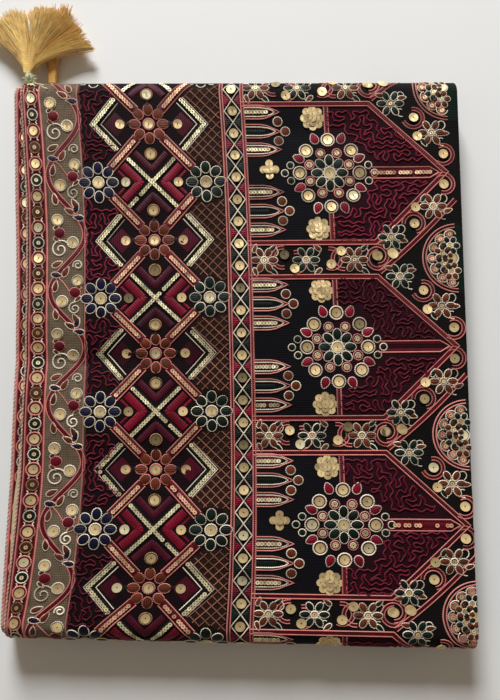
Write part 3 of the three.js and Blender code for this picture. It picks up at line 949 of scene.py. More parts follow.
class Needle:
    """Collects the embroidery in cloth space, then works each thread, foil and satin as one mesh."""

    SHOWN = ((-243.0, 211.6), (-684.0, -660.0))
    LAST_V = -690.0
    STEP = 2.4

    def __init__(self, bundle: Bundle, seed: int = 11) -> None:
        """Starts with no stitches."""
        self.bundle = bundle
        self.rng = random.Random(seed)
        self.threads: dict[tuple[Finish, Section], list[tuple]] = defaultdict(list)
        self.pads: dict[Finish, list[tuple]] = defaultdict(list)
        self.sequins: dict[tuple[Finish, Sequin], list[tuple]] = defaultdict(list)

    def shown(self, v: Array) -> Array:
        """Which lengths of cloth lie where stitches are worked."""
        v = np.asarray(v)
        return np.any([(v > low) & (v < high) for low, high in self.SHOWN], axis=0)

    def cord(self, finish: Finish, path: Array, thick: float = 0.5, lift: float = 0.0, closed: bool = False,
             section: Section = Section.CORD) -> None:
        """Lays a cord along a path.

        Args:
            finish: The cord's finish.
            path: Points (u, v).
            thick: Half its width.
            lift: Height of the cloth or stitches under it.
            closed: Whether its last point joins its first.
            section: Its section.
        """
        points = dense(path, self.STEP, closed)
        shown = self.shown(points[:, 1])
        tone = self.rng.random()
        if shown.all():
            self.threads[finish, section].append((points, thick, lift, tone, closed))
            return
        if closed:
            points, shown = np.vstack([points, points[:1]]), np.append(shown, shown[0])
        for start, stop in stretches(shown):
            self.threads[finish, section].append((points[start:stop], thick, lift, tone, False))

    def ribbon(self, finish: Finish, path: Array, half: float) -> None:
        """Lays a flat satin ribbon along a path."""
        self.cord(finish, path, half, section=Section.SATIN)

    def tape(self, path: Array, finish: Finish = PALE_GOLD, lift: float = 0.6, missing: float = 0.02,
             spacing: float = 2.5) -> None:
        """Sews overlapping small sequins in a row along a path, with a few missing."""
        points = np.asarray(path, float)
        way = np.append(0, np.cumsum(np.hypot(*np.diff(points, axis=0).T)))
        for distance in np.arange(0.6, way[-1], spacing):
            u, v = (float(np.interp(distance, way, points[:, axis])) for axis in (0, 1))
            if self.rng.random() > missing:
                self.sequin(u, v, Sequin.SMALL, finish, lift + self.rng.uniform(-0.05, 0.15))

    def band(self, path: Array, half: float, thick: float = 0.47) -> None:
        """Lays a red ribbon between two pink cords."""
        self.ribbon(RED, path, half - 0.1)
        for side in (-half, half):
            self.cord(PINK, offset(path, side), thick, 0.1)

    def satin(self, finish: Finish, outline: Array, rise: float = 0.8, grain: float = 0.0,
              edge: Finish | None = None, thick: float = 0.44) -> None:
        """Fills an outline with a pad of satin stitches, with a cord round it if an edge is named.

        Args:
            finish: The satin's finish.
            outline: Points (u, v), as many as divide the sides of a pad.
            rise: Height of its crown.
            grain: Direction in which the rows follow each other, in degrees.
            edge: Finish of the cord round it.
            thick: Half that cord's width.
        """
        outline = np.asarray(outline, float)
        if self.shown(outline[:, 1]).all():
            self.pads[finish].append((padded_outline(outline), rise, grain, self.rng.random()))
        if edge:
            self.cord(edge, outline, thick, closed=True)

    def sequin(self, u: float, v: float, kind: Sequin = Sequin.LARGE, finish: Finish | None = None,
               lift: float = 1.1) -> None:
        """Sews one sequin on, a little tilted; some of the large ones are tarnished, and a few take pale gold
        as a painted glint.
        """
        tilt = [self.rng.gauss(0, math.radians(3.5)) for _ in range(2)]
        turn, tarnish_and_glint_draw = self.rng.uniform(0, 2 * math.pi), self.rng.random()
        # a few large sequins are tarnished; about one in ten takes pale gold foil as a painted glint
        tarnish_and_glint_pick = TARNISHED if tarnish_and_glint_draw < 0.05 else PALE_GOLD if tarnish_and_glint_draw > 0.9 else GOLD
        chosen = finish or (tarnish_and_glint_pick if kind is Sequin.LARGE else GOLD)
        if self.shown(v):
            self.sequins[chosen, kind].append((u, v, lift, turn, *tilt, self.rng.random()))

    def eye(self, spot: Spot, radius: float = 4.6, edge: Finish = PINK, kind: Sequin = Sequin.LARGE,
            fill: Finish | None = RED) -> None:
        """A sequin in a ring of cord, on a satin ground."""
        if fill:
            self.satin(fill, spot.at(roundel(radius - 0.2)), 0.15)
        self.cord(edge, spot.at(ring(radius)), 0.55, 0.1, True)
        self.sequin(spot.u, spot.v, kind, lift=0.8)

    def flower(self, spot: Spot, finish: Finish, petals: int = 8, length: float = 9.0, width: float = 7.2,
               reach: float = 11.0, edge: Finish = CREAM, heart: float = 4.3,
               kind: Sequin = Sequin.LARGE) -> None:
        """A round flower of satin petals, edged with cord, about a ringed sequin."""
        petal = leaf(length, width) + (reach - length / 2, 0)
        for index in range(petals):
            turned = spot.turned(360 * index / petals)
            self.satin(finish, turned.at(petal), 1.0, turned.turn + 90, edge=edge)
        self.eye(spot, heart, edge, kind)

    def leaves(self, spot: Spot, rows: Sequence[tuple[float, float, float, Finish]], length: float = 9.0,
               width: float = 5.0) -> None:
        """Pointed leaves with cream edges, each at (u, v) with its turn and finish."""
        outline = leaf(length, width, 0.55) - (length / 2, 0)
        for u, v, turn, finish in rows:
            placed = spot.shifted(u, v, turn)
            self.satin(finish, placed.at(outline), 0.8, placed.turn + 60, edge=CREAM)

    def scroll(self, spot: Spot, radius: float, start: float, sweep: float) -> None:
        """A curled double line with a sequin at its heart."""
        self.band(spot.at(curl(radius, radius * 0.8, start, sweep)), 1.2, 0.4)
        self.sequin(spot.u, spot.v)

    # The meshes
    def _surface(self, points: Array) -> tuple[Array, Array]:
        """Places of points of cloth space, and the ways that the cloth faces there."""
        places = self.bundle.lay(points)
        ups = self.bundle.lay(points + (0, 0, 1)) - places
        return places, ups / np.linalg.norm(ups, axis=1, keepdims=True)

    def thread_mesh(self, name: str, loom: Loom, section: Section, rows: list[tuple]) -> Mesh:
        """The mesh of all threads of one finish and section."""
        low = section.value[1]
        flat = [np.column_stack([points, np.full(len(points), lift + low * thick * 0.8)])
                for points, thick, lift, _, _ in rows]
        places, ups = self._surface(np.vstack(flat))
        ends = np.cumsum([len(points) for points in flat])[:-1]
        threads = [Thread(place, up, row[1] * MM, row[3], row[4])
                   for place, up, row in zip(np.split(places, ends), np.split(ups, ends), rows)]
        return loom.sweep(name, section, threads)

    def _repeated(self, name: str, shape: Prototype, points: Array, way: Array, tone: Array) -> Mesh:
        """The mesh of many copies of a shape, from the cloth-space points of each."""
        copies, size = points.shape[:2]
        faces = [[corner + copy * size for corner in face] for copy in range(copies) for face in shape.faces]
        mesh = bpy.data.meshes.new(name)
        mesh.from_pydata(self.bundle.lay(points.reshape(-1, 3)).tolist(), [], faces)
        return shaped(with_attributes(mesh, way.reshape(-1, 2), np.repeat(tone, size)), 40)

    def sequin_mesh(self, name: str, kind: Sequin, rows: list[tuple]) -> Mesh:
        """The mesh of all sequins of one kind and finish."""
        shape = Prototype.sequin(kind)
        u, v, lift, turn, tilt_u, tilt_v, tone = np.array(rows).T[:, :, None]
        x, y, z = shape.points.T[:, None, :]
        height = z + x * np.sin(tilt_u) + y * np.sin(tilt_v)
        across, along = x * np.cos(turn) - y * np.sin(turn), x * np.sin(turn) + y * np.cos(turn)
        points = np.stack([u + across, v + along, lift + height], -1)
        way = np.broadcast_to(shape.points[None, :, :2], points.shape[:2] + (2,))
        return self._repeated(name, shape, points, way, tone[:, 0])

    def pad_mesh(self, name: str, rows: list[tuple]) -> Mesh:
        """The mesh of all satin pads of one finish."""
        shape = Prototype.pad(PAD_SIDES)
        outlines = np.array([row[0] for row in rows])
        rise, grain, tone = np.array([row[1:] for row in rows]).T
        centres = outlines.mean(1, keepdims=True)
        x, y, z = shape.points.T
        corner = np.round(np.arctan2(y, x) / (2 * math.pi / PAD_SIDES)).astype(int)
        out = (outlines - centres)[:, corner % PAD_SIDES] * np.hypot(x, y)[:, None]
        height = (rise[:, None] + 0.1) * z - 0.1
        cos, sin = np.cos(np.radians(grain))[:, None], np.sin(np.radians(grain))[:, None]
        way = np.stack([out[..., 0] * cos + out[..., 1] * sin, out[..., 1] * cos - out[..., 0] * sin], -1)
        points = np.concatenate([centres + out, height[..., None]], -1)
        return self._repeated(name, shape, points, way, tone)


# ---- The embroidery's sub-assemblies ---------------------------------------------------------------------
def straight(u: float) -> Array:
    """A line along the whole cloth."""
    return np.array([(u, 212.0), (u, Needle.LAST_V)])


@dataclass(frozen=True)
class CircleBand:
    """The narrow band beside the hem: ringed sequins and small discs by turns."""

    u: float = -151.3
    first: float = 198.0
    wide_pitch: float = 12.5
    wide_count: int = 6
    pitch: float = 11.75
    half_width: float = 6.75
    ring_radius: float = 5.2
    colours_swap: int = 23
    sequin_lift: float = 0.8

    def place(self, index: int) -> float:
        """Length along the cloth of one disc."""
        wide = min(index, self.wide_count)
        return self.first - self.wide_pitch * wide - self.pitch * (index - wide)

    def stitch(self, needle: Needle) -> None:
        """Works the band."""
        for side in (-self.half_width, self.half_width):
            needle.cord(PINK, straight(self.u + side), 0.6)
            needle.cord(RED_CORD, straight(self.u + side * 0.84), 0.4)
        index = -1
        while self.place(index) > needle.LAST_V:
            spot = Spot(self.u, self.place(index))
            odd_green = (index % 4 == 1) == (index < self.colours_swap)
            if index % 2 == 0:
                needle.eye(spot, self.ring_radius, PINK)
            else:
                fill, edge = (GREEN, CREAM) if odd_green else (BROWN, OLD_GOLD)
                needle.satin(fill, spot.at(roundel(4.4)), self.sequin_lift * 0.7, 45, edge=edge)
                needle.sequin(spot.u, spot.v, Sequin.SMALL, lift=self.sequin_lift)
            for side in (-1, 1):
                link = [(side * 3.6, -4.4), (side * 2.2, -self.pitch / 2), (side * 3.6, 4.4 - self.pitch)]
                needle.cord(CREAM, smooth(spot.at(link), 2), 0.4, 0.1)
            index += 1


@dataclass(frozen=True)
class VineBorder:
    """The wide taupe border: a waving stem with buds, spirals, leaves and sequins in its bays."""

    middle: float = -128.5
    swing: float = 13.5
    period: float = 88.8
    crest: float = 183.0
    edge_u: tuple[float, float] = (-144.2, -115.0)

    def stem(self) -> Array:
        """The stem's path."""
        v = np.arange(212.0, Needle.LAST_V, -3.0)
        return np.stack([self.middle + self.swing * np.cos(2 * math.pi * (v - self.crest) / self.period), v], 1)

    def bud(self, needle: Needle, spot: Spot) -> None:
        """A round bud between two sepals."""
        needle.satin(BUD, spot.at(leaf(8.5, 8.0) - (4.2, 0)), 1.3, spot.turn, edge=PINK)
        for side in (-1, 1):
            sepal = spot.shifted(-4.6, side * 3.0, side * 38)
            needle.satin(RUST, sepal.at(leaf(6.5, 3.4, 0.6)), 0.7, sepal.turn, edge=CREAM)

    def bay(self, needle: Needle, v: float) -> None:
        """One repeat of the border, from a crest of the stem."""
        bay = Spot(0, v)
        self.bud(needle, Spot(-135, v + 1, 0))
        self.bud(needle, Spot(-122.6, v - 45, 180))
        for u, dv in ((-136.2, 11), (-124.5, -6.3), (-120.6, -36), (-132.6, -51.6)):
            needle.eye(Spot(u, v + dv), 4.3, CREAM, fill=None)
        for u, dv, outer, start, sweep in ((-134.5, -11.5, 7.6, 20, 560), (-120.5, -24, 4.0, 200, -500),
                                           (-122.8, -57.4, 5.0, 90, 520)):
            needle.cord(CREAM, Spot(u, v + dv).at(curl(outer, 1.2, start, sweep)), 0.62)
        needle.leaves(bay, ((-136.7, -23, 25, RUST), (-137, -31.5, -10, NAVY), (-130, -29, 60, RUST),
                            (-126.5, 17.5, 150, RUST), (-122, 23, 120, RUST), (-119.5, 12.5, 170, NAVY),
                            (-121, -69, 70, NAVY), (-137.5, -62, 100, RUST), (-138, -40, 80, RUST)))
        needle.cord(PINK, smooth(bay.at([(-136, -33), (-131, -38), (-127, -44)]), 2), 0.5)

    def stitch(self, needle: Needle) -> None:
        """Works the border."""
        needle.band(self.stem(), 1.7)
        for u in self.edge_u:
            needle.cord(PINK, straight(u), 0.5)
        v = self.crest
        while v > needle.LAST_V - self.period:
            self.bay(needle, v)
            v -= self.period


@dataclass(frozen=True)
class Lattice:
    """The panel of crossed strips: rust flowers down its middle, navy and green ones at its sides."""

    axis: float = -60.5
    pitch: float = 88.8
    side: float = 42.0
    left: float = -115.0
    right: float = -4.2
    flower_clear: float = 16.5
    net_pitch: float = 5.3
    seed: int = 3

    def rows(self) -> Array:
        """Lengths of the rust flowers."""
        return self.pitch * np.arange(3, -9, -1)

    def reach(self, v: Array) -> Array:
        """How far from the axis the strips and bars reach at lengths of the cloth."""
        away = np.abs((np.asarray(v) + self.pitch / 2) % self.pitch - self.pitch / 2)
        return np.maximum(away + 6, 47 - away)

    def outside(self, u: Array, v: Array, side: int) -> Array:
        """Whether points lie in the filling on one side, clear of strips and flowers."""
        away = np.abs(np.asarray(v) % self.pitch - self.pitch / 2)
        clear = np.hypot(u - self.axis - side * self.side, away) > self.flower_clear
        edge = u > self.left + 1 if side < 0 else u < self.right - 1
        return (side * (u - self.axis) > self.reach(v)) & clear & edge

    def strips(self, needle: Needle, spot: Spot) -> None:
        """The four strips that leave a rust flower, each with its sequin tape."""
        for side in (-1, 1):
            for way in (-1, 1):
                end = np.array([side * self.side, way * self.pitch / 2])
                unit = end / np.hypot(*end)
                needle.band(spot.at([unit * 14.5, unit * (np.hypot(*end) - 14.5)]), 3.4)
                needle.tape(spot.at([unit * 18, unit * 44]), PINK_GOLD, 1.1)

    def chevron(self, needle: Needle, spot: Spot) -> None:
        """A gold chevron that points away from a rust flower, with cords beside it."""
        arms = np.array([(26, 19), (43, 0), (26, -19)], float)
        needle.tape(spot.at(arms))
        for side, finish in ((-4.2, CREAM), (-2.3, DARK), (2.3, CREAM)):
            needle.cord(finish, spot.at(offset(arms, side)), 0.42)
        needle.satin(PLUM, spot.at([(35, 0), (25.5, 9.5), (16, 0), (25.5, -9.5)]), 0.35)
        needle.satin(GREEN, spot.at([(18.5, 0), (15.5, 3), (13.5, 0), (15.5, -3)]), 0.6)
        needle.sequin(*spot.at([(22.5, 0)])[0], lift=0.7)

    def cell(self, needle: Needle, spot: Spot) -> None:
        """The field between four flowers: a gold cross, with nested bars in its quarters."""
        for turn in (45, 135):
            needle.tape(spot.turned(turn).at([(-26, 0), (26, 0)]))
            for side in (-1.9, 1.9):
                needle.cord(DARK, spot.turned(turn).at([(-26, side), (26, side)]), 0.5)
        bars = ((0, CRIMSON, 6.6, 3.0), (180, CRIMSON, 6.6, 3.0), (0, CRIMSON, 12.4, 0.9),
                (180, CRIMSON, 12.4, 0.9), (90, PLUM, 7.0, 2.5), (270, PLUM, 7.0, 2.5))
        for turn, finish, middle, half in bars:
            corner = middle * math.sqrt(2)
            tip = (25.0 - middle) / math.sqrt(2)
            bar = spot.turned(turn).at([(corner + tip, tip), (corner, 0), (corner + tip, -tip)])
            needle.ribbon(finish, bar, half)
        for side in (-1, 1):
            needle.sequin(*spot.at([(side * 20.5, 0)])[0])
            beyond = spot.shifted(0, side * 21.5, 90 * side)
            needle.eye(beyond, 4.4, OLD_GOLD, fill=BROWN)
            needle.satin(GREEN, beyond.at([(5, 0), (8.5, 2.6), (8.5, -2.6)]), 0.6)

    def jaal(self, needle: Needle) -> None:
        """The criss-cross filling on the right."""
        for slope in (-1, 1):
            for start in np.arange(-760, 300, self.net_pitch * math.sqrt(2)):
                u = np.arange(self.axis, self.right, 1.2)
                v = start + slope * (u - self.axis)
                for first, last in stretches(self.outside(u, v, 1) & needle.shown(v)):
                    needle.cord(JAAL, [(u[first], v[first]), (u[last - 1], v[last - 1])], 0.42)

    def stitch(self, needle: Needle) -> None:
        """Works the panel."""
        for v in self.rows():
            spot = Spot(self.axis, v)
            needle.flower(spot, RUST, edge=PINK)
            self.strips(needle, spot)
            self.chevron(needle, spot)
            self.chevron(needle, spot.turned(180))
            self.cell(needle, Spot(self.axis, v + self.pitch / 2))
            for side, finish in ((-1, NAVY), (1, GREEN)):
                needle.flower(Spot(self.axis + side * self.side, v + self.pitch / 2), finish)
        self.jaal(needle)
        box = (self.left, self.axis, *needle.SHOWN[0])
        for path in meander(lambda u, v: self.outside(u, v, -1), box, 7.0, self.seed):
            needle.cord(MAROON, path, 0.6, closed=True)


@dataclass(frozen=True)
class DiamondBand:
    """The straight band right of the lattice: sequins in crossing zigzags."""

    u: float = 5.0
    first: float = 201.9
    pitch: float = 17.0
    half: float = 6.2
    edges: tuple[float, float] = (6.9, 9.0)

    def stitch(self, needle: Needle) -> None:
        """Works the band."""
        inner, outer = self.edges
        for side in (-1, 1):
            needle.ribbon(RED, straight(self.u + side * (inner + outer) / 2), (outer - inner) / 2)
            needle.cord(PINK, straight(self.u + side * inner), 0.45)
            needle.cord(PINK, straight(self.u + side * outer), 0.55)
        index = 0
        while self.first - self.pitch * index > needle.LAST_V:
            spot = Spot(self.u, self.first - self.pitch * index)
            needle.sequin(spot.u, spot.v)
            knot = self.pitch / 2
            for side in (-1, 1):
                needle.cord(CREAM, spot.at([(0, knot), (side * self.half, 0), (0, -knot)]), 0.45)
                corner = [(side * 1.2, -knot), (side * 6.2, -knot + 5), (side * 6.2, -knot - 5)]
                needle.satin(GREEN if index % 2 else CRIMSON, spot.at(corner), 0.6, 90)
            index += 1


@dataclass(frozen=True)
class PanelRow:
    """What repeats along the cloth with the pointed panels, which are numbered from the middle one."""

    pitch: float = 133.2
    shift: float = 3.4
    numbers: ClassVar[range] = range(2, -6, -1)

    def place(self, number: float) -> float:
        """Length along the cloth of a panel's middle; half numbers lie between two panels."""
        return self.shift + self.pitch * number


@dataclass(frozen=True)
class ArchPanels(PanelRow):
    """The pointed panels that lie across the cloth, with their medallions, stems and rows of bullets."""

    half: float = 53.5
    base_u: float = 12.0
    shoulder_u: float = 110.0
    tip_u: float = 166.0
    medallion_u: float = 77.3
    divider_u: float = 77.0
    medallion_reach: float = 31.0
    stem_half: float = 4.2
    sound_missing: float = 0.02
    worn_missing: float = 0.5
    seed: int = 5

    def away(self, v: Array) -> Array:
        """Distance of lengths of the cloth from the nearest panel's middle."""
        return np.abs((np.asarray(v) - self.shift + self.pitch / 2) % self.pitch - self.pitch / 2)

    def inside(self, u: Array, v: Array, clear: float = 0.0) -> Array:
        """Whether points lie inside a panel, clear of its band."""
        away = self.away(v) + clear
        slope = (self.tip_u - self.shoulder_u) / self.half
        end = self.shoulder_u + slope * (self.half - away) - 0.4 * clear
        return (away < self.half) & (u < end) & (u > 14 + clear)

    def outline(self, spot: Spot) -> Array:
        """The path of a panel's band."""
        return spot.at([(self.base_u, -self.half), (self.shoulder_u, -self.half), (self.tip_u, 0),
                        (self.shoulder_u, self.half), (self.base_u, self.half)])

    def bullets(self, needle: Needle, spot: Spot) -> None:
        """The rows of long pointed tabs on the side of the diamond band."""
        for side in (-1, 1):
            for place in (16.5, 31.0, 45.5):
                tab = spot.shifted(0, 2 + side * place)
                for half, finish, tip in ((5.2, PINK, 41.5), (3.3, CREAM, 37.5)):
                    side_path = [(14.4, half), (26, half), (31, half * 0.84), (35, half * 0.5), (tip, 0)]
                    path = np.array(side_path + [(u, -dv) for u, dv in side_path[-2::-1]])
                    needle.cord(finish, tab.at(path), 0.5)
                if place == 31.0:
                    needle.ribbon(GREEN, tab.at([(14.8, 0), (29, 0)]), 1.5)
                    for u, dv in ((39.5, 7.5), (45, 0), (39.5, -7.5)):
                        needle.satin(RUST, tab.shifted(u, dv).at(roundel(3.5)), 0.8, 45, edge=CREAM)
                else:
                    needle.tape(tab.at([(15.2, 0), (33, 0)]), lift=0.95)
                    needle.ribbon(RED, tab.at([(14.8, 0), (33, 0)]), 2.4)

    def medallion(self, needle: Needle, spot: Spot) -> None:
        """The round medallion: petals, scalloped circles, ringed sequins and drops."""
        needle.flower(spot, GREEN, 8, 9, 6.5, 9.6, CREAM, 4.4)
        for index in range(8):
            circle = spot.toward(22.5 + 45 * index, 16.5)
            needle.satin(BROWN, circle.at(roundel(3.6)), 0.4, edge=PINK)
            needle.cord(CREAM, circle.at(ring(2.1)), 0.35, 0.3, True)
            needle.sequin(circle.u, circle.v, Sequin.SMALL, lift=0.8)
            needle.eye(spot.toward(45 * index, (23.0, 24.5, 26.0, 24.5)[index % 4]), 5.0, CREAM)
        for side in (-1, 1):
            for way in (-1, 1):
                for angle, reach in ((26, 26.0), (69, 29.0)):
                    drop = Spot(spot.u, spot.v, way * (angle if side > 0 else 180 - angle))
                    petal = leaf(9, 7.2, 0.5) + (reach - 4.5, 0)
                    needle.satin(CRIMSON, drop.at(petal), 1.0, drop.turn + 90, edge=CREAM)
            for du, dv in ((30, -6), (30, 6), (34.5, 0)):
                needle.satin(GREEN, spot.shifted(side * du, dv).at(roundel(2.7)), 0.7, edge=CREAM)

    def rosette(self, needle: Needle, spot: Spot, count: int, radius: float) -> None:
        """Two rings of sequins round one."""
        for ring_radius, number, lift in ((0, 1, 1.1), (radius * 0.5, count // 2, 0.8), (radius, count, 0.4)):
            for index, place in enumerate(spot.at(arc(ring_radius, 0, 360, number))[:-1]):
                needle.sequin(*place, Sequin.MEDIUM, GOLD, lift + 0.15 * (index % 2))

    def stem(self, needle: Needle, spot: Spot, taped: bool, missing: float) -> None:
        """The double stem from the medallion to the panel's tip, with its tape where that isn't worn off."""
        for side in (-1, 1):
            path = [(108, side * self.stem_half), (154, side * self.stem_half), (161, 0)]
            needle.cord(PINK, spot.at(path), 0.55)
            needle.ribbon(RED, spot.at([(108, side * 2.7), (156, side * 2.7)]), 1.1)
        if taped:
            needle.ribbon(RED, spot.at([(108, 0), (156, 0)]), 2.2)
            needle.tape(spot.at([(111, 0), (155, 0)]), PINK_GOLD, 1.15, missing)

    def filled(self, u: Array, v: Array) -> Array:
        """Whether points lie in the wandering filling on the right of the divider."""
        away = self.away(v)
        clear = np.hypot(u - self.medallion_u, away) > self.medallion_reach + 2.5
        beside = (u < 106) | (away > self.stem_half + 3.0)
        return self.inside(u, v, 3.2) & (u > self.divider_u + 3.0) & clear & beside

    def stitch(self, needle: Needle) -> None:
        """Works the panels."""
        for number in self.numbers:
            spot = Spot(0, self.place(number))
            needle.band(self.outline(spot), 1.6, 0.48)
            self.bullets(needle, spot)
            self.medallion(needle, spot.shifted(self.medallion_u, 0))
            self.stem(needle, spot, number != 0, self.worn_missing if number < 0 else self.sound_missing)
            for side in (-1, 1):
                ends = [(self.divider_u, side * end) for end in (self.half - 2.4, self.medallion_reach)]
                needle.band(spot.at(ends), 1.5)
                self.rosette(needle, spot.shifted(66.5, side * 43), 8, 6.4)
            if number:
                self.rosette(needle, spot.shifted(31, 3), 4, 4.6)
        box = (self.divider_u, self.tip_u, *needle.SHOWN[0])
        for path in meander(self.filled, box, 6.8, self.seed):
            needle.cord(MAROON, path, 0.64, closed=True)


@dataclass(frozen=True)
class ScrollVines(PanelRow):
    """The vines between the panels: a flowering band across, then up and down beside each pointed end."""

    small_flower: tuple[float, float, float] = (7.4, 4.8, 6.6)

    def flower(self, needle: Needle, spot: Spot, finish: Finish) -> None:
        """A small flower of six petals between two cream leaves."""
        length, width, reach = self.small_flower
        needle.flower(spot, finish, 6, length, width, reach, CREAM, 2.6, Sequin.SMALL)
        for side in (-1, 1):
            needle.cord(CREAM, spot.shifted(7.5, side * 6.5).at(curl(3.8, 2.0, -70, side * 230)), 0.4)

    def across(self, needle: Needle, middle: Spot) -> None:
        """The band that runs across the cloth between two panels."""
        for u, finish in ((24, RUST), (56, GREEN), (93, RUST)):
            self.flower(needle, middle.shifted(u, 0), finish)
        for u, dv in ((39.5, 4), (47, -6.5), (75, -3.5), (83, 6.5), (110, 3), (122, 5)):
            needle.sequin(*middle.at([(u, dv)])[0])
        curls = ((38, 1, 80, 200), (48, -1, 260, 200), (75, 0, 100, -220), (84, 1, 280, -200),
                 (111, 0, 90, 220))
        for u, dv, start, sweep in curls:
            needle.band(middle.shifted(u, dv).at(curl(8.6, 6.8, start, sweep)), 1.2, 0.4)
        rows = ((31, 9, 40, GREEN), (31, -9, -40, GREEN), (65, 9, 140, RUST), (65, -9, -140, RUST),
                (101, 9, 40, GREEN), (101, -9, -40, GREEN), (17, 9, 70, RUST), (17, -9, -70, RUST))
        needle.leaves(middle, rows, 7, 3.8)

    def beside(self, needle: Needle, centre: Spot) -> None:
        """The vines along a panel's slanting edges."""
        for u, dv, finish in ((127, 53.6, GREEN), (157, 30.6, RUST), (155, -26.5, RUST), (122, -49.5, GREEN)):
            self.flower(needle, centre.shifted(u, dv), finish)
        for u, dv, start, sweep in ((144, 42.6, 200, 260), (165, 14, 230, 250), (164, -9.5, 130, -240),
                                    (140, -39.5, 180, -260), (111, -64, 100, -190)):
            needle.scroll(centre.shifted(u, dv), 8.2, start, sweep)
        for u, dv in ((146, 28), (141.5, -27), (123, -62.5)):
            needle.sequin(*centre.at([(u, dv)])[0])
        line = smooth(centre.at([(112, -76.5), (130, -62), (152, -42), (172, -21.5)]), 2)
        needle.band(line, 1.5, 0.45)
        rows = ((136, 58, 10, RUST), (119, 60, 170, RUST), (151, 23, -60, GREEN), (167, 30, 0, RUST),
                (148, -20, 60, GREEN), (166, -30, 20, RUST), (131, -52, -20, RUST), (115, -54, 190, RUST))
        needle.leaves(centre, rows, 7, 4)

    def stitch(self, needle: Needle) -> None:
        """Works the vines."""
        for number in self.numbers:
            self.across(needle, Spot(0, self.place(number + 0.5)))
            self.beside(needle, Spot(0, self.place(number)))


@dataclass(frozen=True)
class HalfMedallions(PanelRow):
    """The half circles that meet the folded side between the panels."""

    u: float = 171.0
    radius: float = 26.0

    def stitch(self, needle: Needle) -> None:
        """Works the half circles."""
        for number in self.numbers:
            spot = Spot(self.u, self.place(number + 0.5), 180)
            for radius in (self.radius, self.radius - 2.4):
                needle.cord(PINK, spot.at(arc(radius, -88, 88, 30)), 0.55)
            for turn, finish in ((-62, GREEN), (-21, RUST), (21, GREEN), (62, RUST)):
                needle.flower(spot.toward(turn, 11.0, turn), finish, 6, 5.2, 4.4, 4.8, CREAM, 2.4, Sequin.SMALL)
            for turn in (-75, -50, -25, 0, 25, 50, 75):
                needle.cord(CREAM, spot.toward(turn, 18.2).at(arc(4.3, turn - 95, turn + 95, 9)), 0.42)
                needle.eye(spot.toward(turn, 19.2), 2.3, PINK, Sequin.SMALL, None)
            needle.eye(spot.shifted(4, 0), 4.6, CREAM)


class Zone(Enum):
    """A colour of the ground, which differs with what is worked densely into the net."""

    CIRCLE_BAND = (84, 20, 26)
    VINE_BORDER = (128, 110, 90)
    LATTICE = (26, 9, 15)
    JAAL = (52, 30, 24)
    DIAMOND_BAND = (26, 14, 14)
    SHEER = (16, 13, 20)
    MAROON = (46, 8, 22)
    VINE_BAND = (20, 15, 15)
    HALF_MEDALLION = (16, 34, 26)


@dataclass(frozen=True)
class UnderStrip(Bundle):
    """The lower half's strip: here u runs from its own hem, and h stands off its own surface."""

    def lay(self, points: Array) -> Array:
        """Places in metres of points (u, v, h) of the lower half."""
        u, v, h = points.T
        run = self.run(v)
        y, turn, wind = self.station(run)
        return self.place(self.hem("under", y) + u, self.under_from - h, y, turn, wind)


@dataclass(frozen=True)
class Embroidery:
    """All the needlework of the cloth, and the ground under it."""

    circles: CircleBand = CircleBand()
    border: VineBorder = VineBorder()
    lattice: Lattice = Lattice()
    diamonds: DiamondBand = DiamondBand()
    arches: ArchPanels = ArchPanels()
    vines: ScrollVines = ScrollVines()
    halves: HalfMedallions = HalfMedallions()

    def ground(self, u: Array, v: Array) -> Array:
        """Linear ground colours at points of the cloth."""
        away = self.arches.pitch / 2 - self.arches.away(v)
        half_medallion = np.hypot(u - self.halves.u, away) < self.halves.radius
        inside = self.arches.inside(u, v)
        zones = ((u < self.border.edge_u[0], Zone.CIRCLE_BAND), (u < self.border.edge_u[1], Zone.VINE_BORDER),
                 (self.lattice.outside(u, v, 1), Zone.JAAL), (u < -5, Zone.LATTICE),
                 (u < 14, Zone.DIAMOND_BAND), (inside & (u < self.arches.divider_u), Zone.SHEER),
                 (inside, Zone.MAROON), (half_medallion, Zone.HALF_MEDALLION), (u < np.inf, Zone.VINE_BAND))
        picked = np.select([mask for mask, _ in zones], list(range(len(zones))))
        return np.array([linear(zone.value) for _, zone in zones])[picked]

    def work(self, shop: "Workshop", bundle: Bundle) -> list[Object]:
        """Stitches everything and makes one piece for each finish and kind of stitch."""
        under = Needle(UnderStrip(), 5)
        replace(self.circles, u=7.2, first=192.0, sequin_lift=0.35).stitch(under)
        pieces = self.made(under, shop, "under_")
        needle = Needle(bundle)
        parts = (self.circles, self.border, self.lattice, self.diamonds, self.arches, self.vines, self.halves)
        for part in parts:
            part.stitch(needle)
        return pieces + self.made(needle, shop)

    def made(self, needle: Needle, shop: "Workshop", prefix: str = "") -> list[Object]:
        """The pieces of all that a needle has collected."""
        pieces = []
        for (finish, section), rows in needle.threads.items():
            name = f"{prefix}stitch_{finish.name}_{section.name.lower()}"
            pieces.append(shop.piece(needle.thread_mesh(name, shop.loom, section, rows), finish, CLOTH_SLOT))
        for finish, rows in needle.pads.items():
            pieces.append(shop.piece(needle.pad_mesh(f"{prefix}pads_{finish.name}", rows), finish, CLOTH_SLOT))
        for (finish, kind), rows in needle.sequins.items():
            name = f"{prefix}sequins_{finish.name}_{kind.name.lower()}"
            pieces.append(shop.piece(needle.sequin_mesh(name, kind, rows), finish, CLOTH_SLOT))
        return pieces


# ---- Cloth, cords and tassels ----------------------------------------------------------------------------
CLOTH_SLOT = "embroidered_cloth"


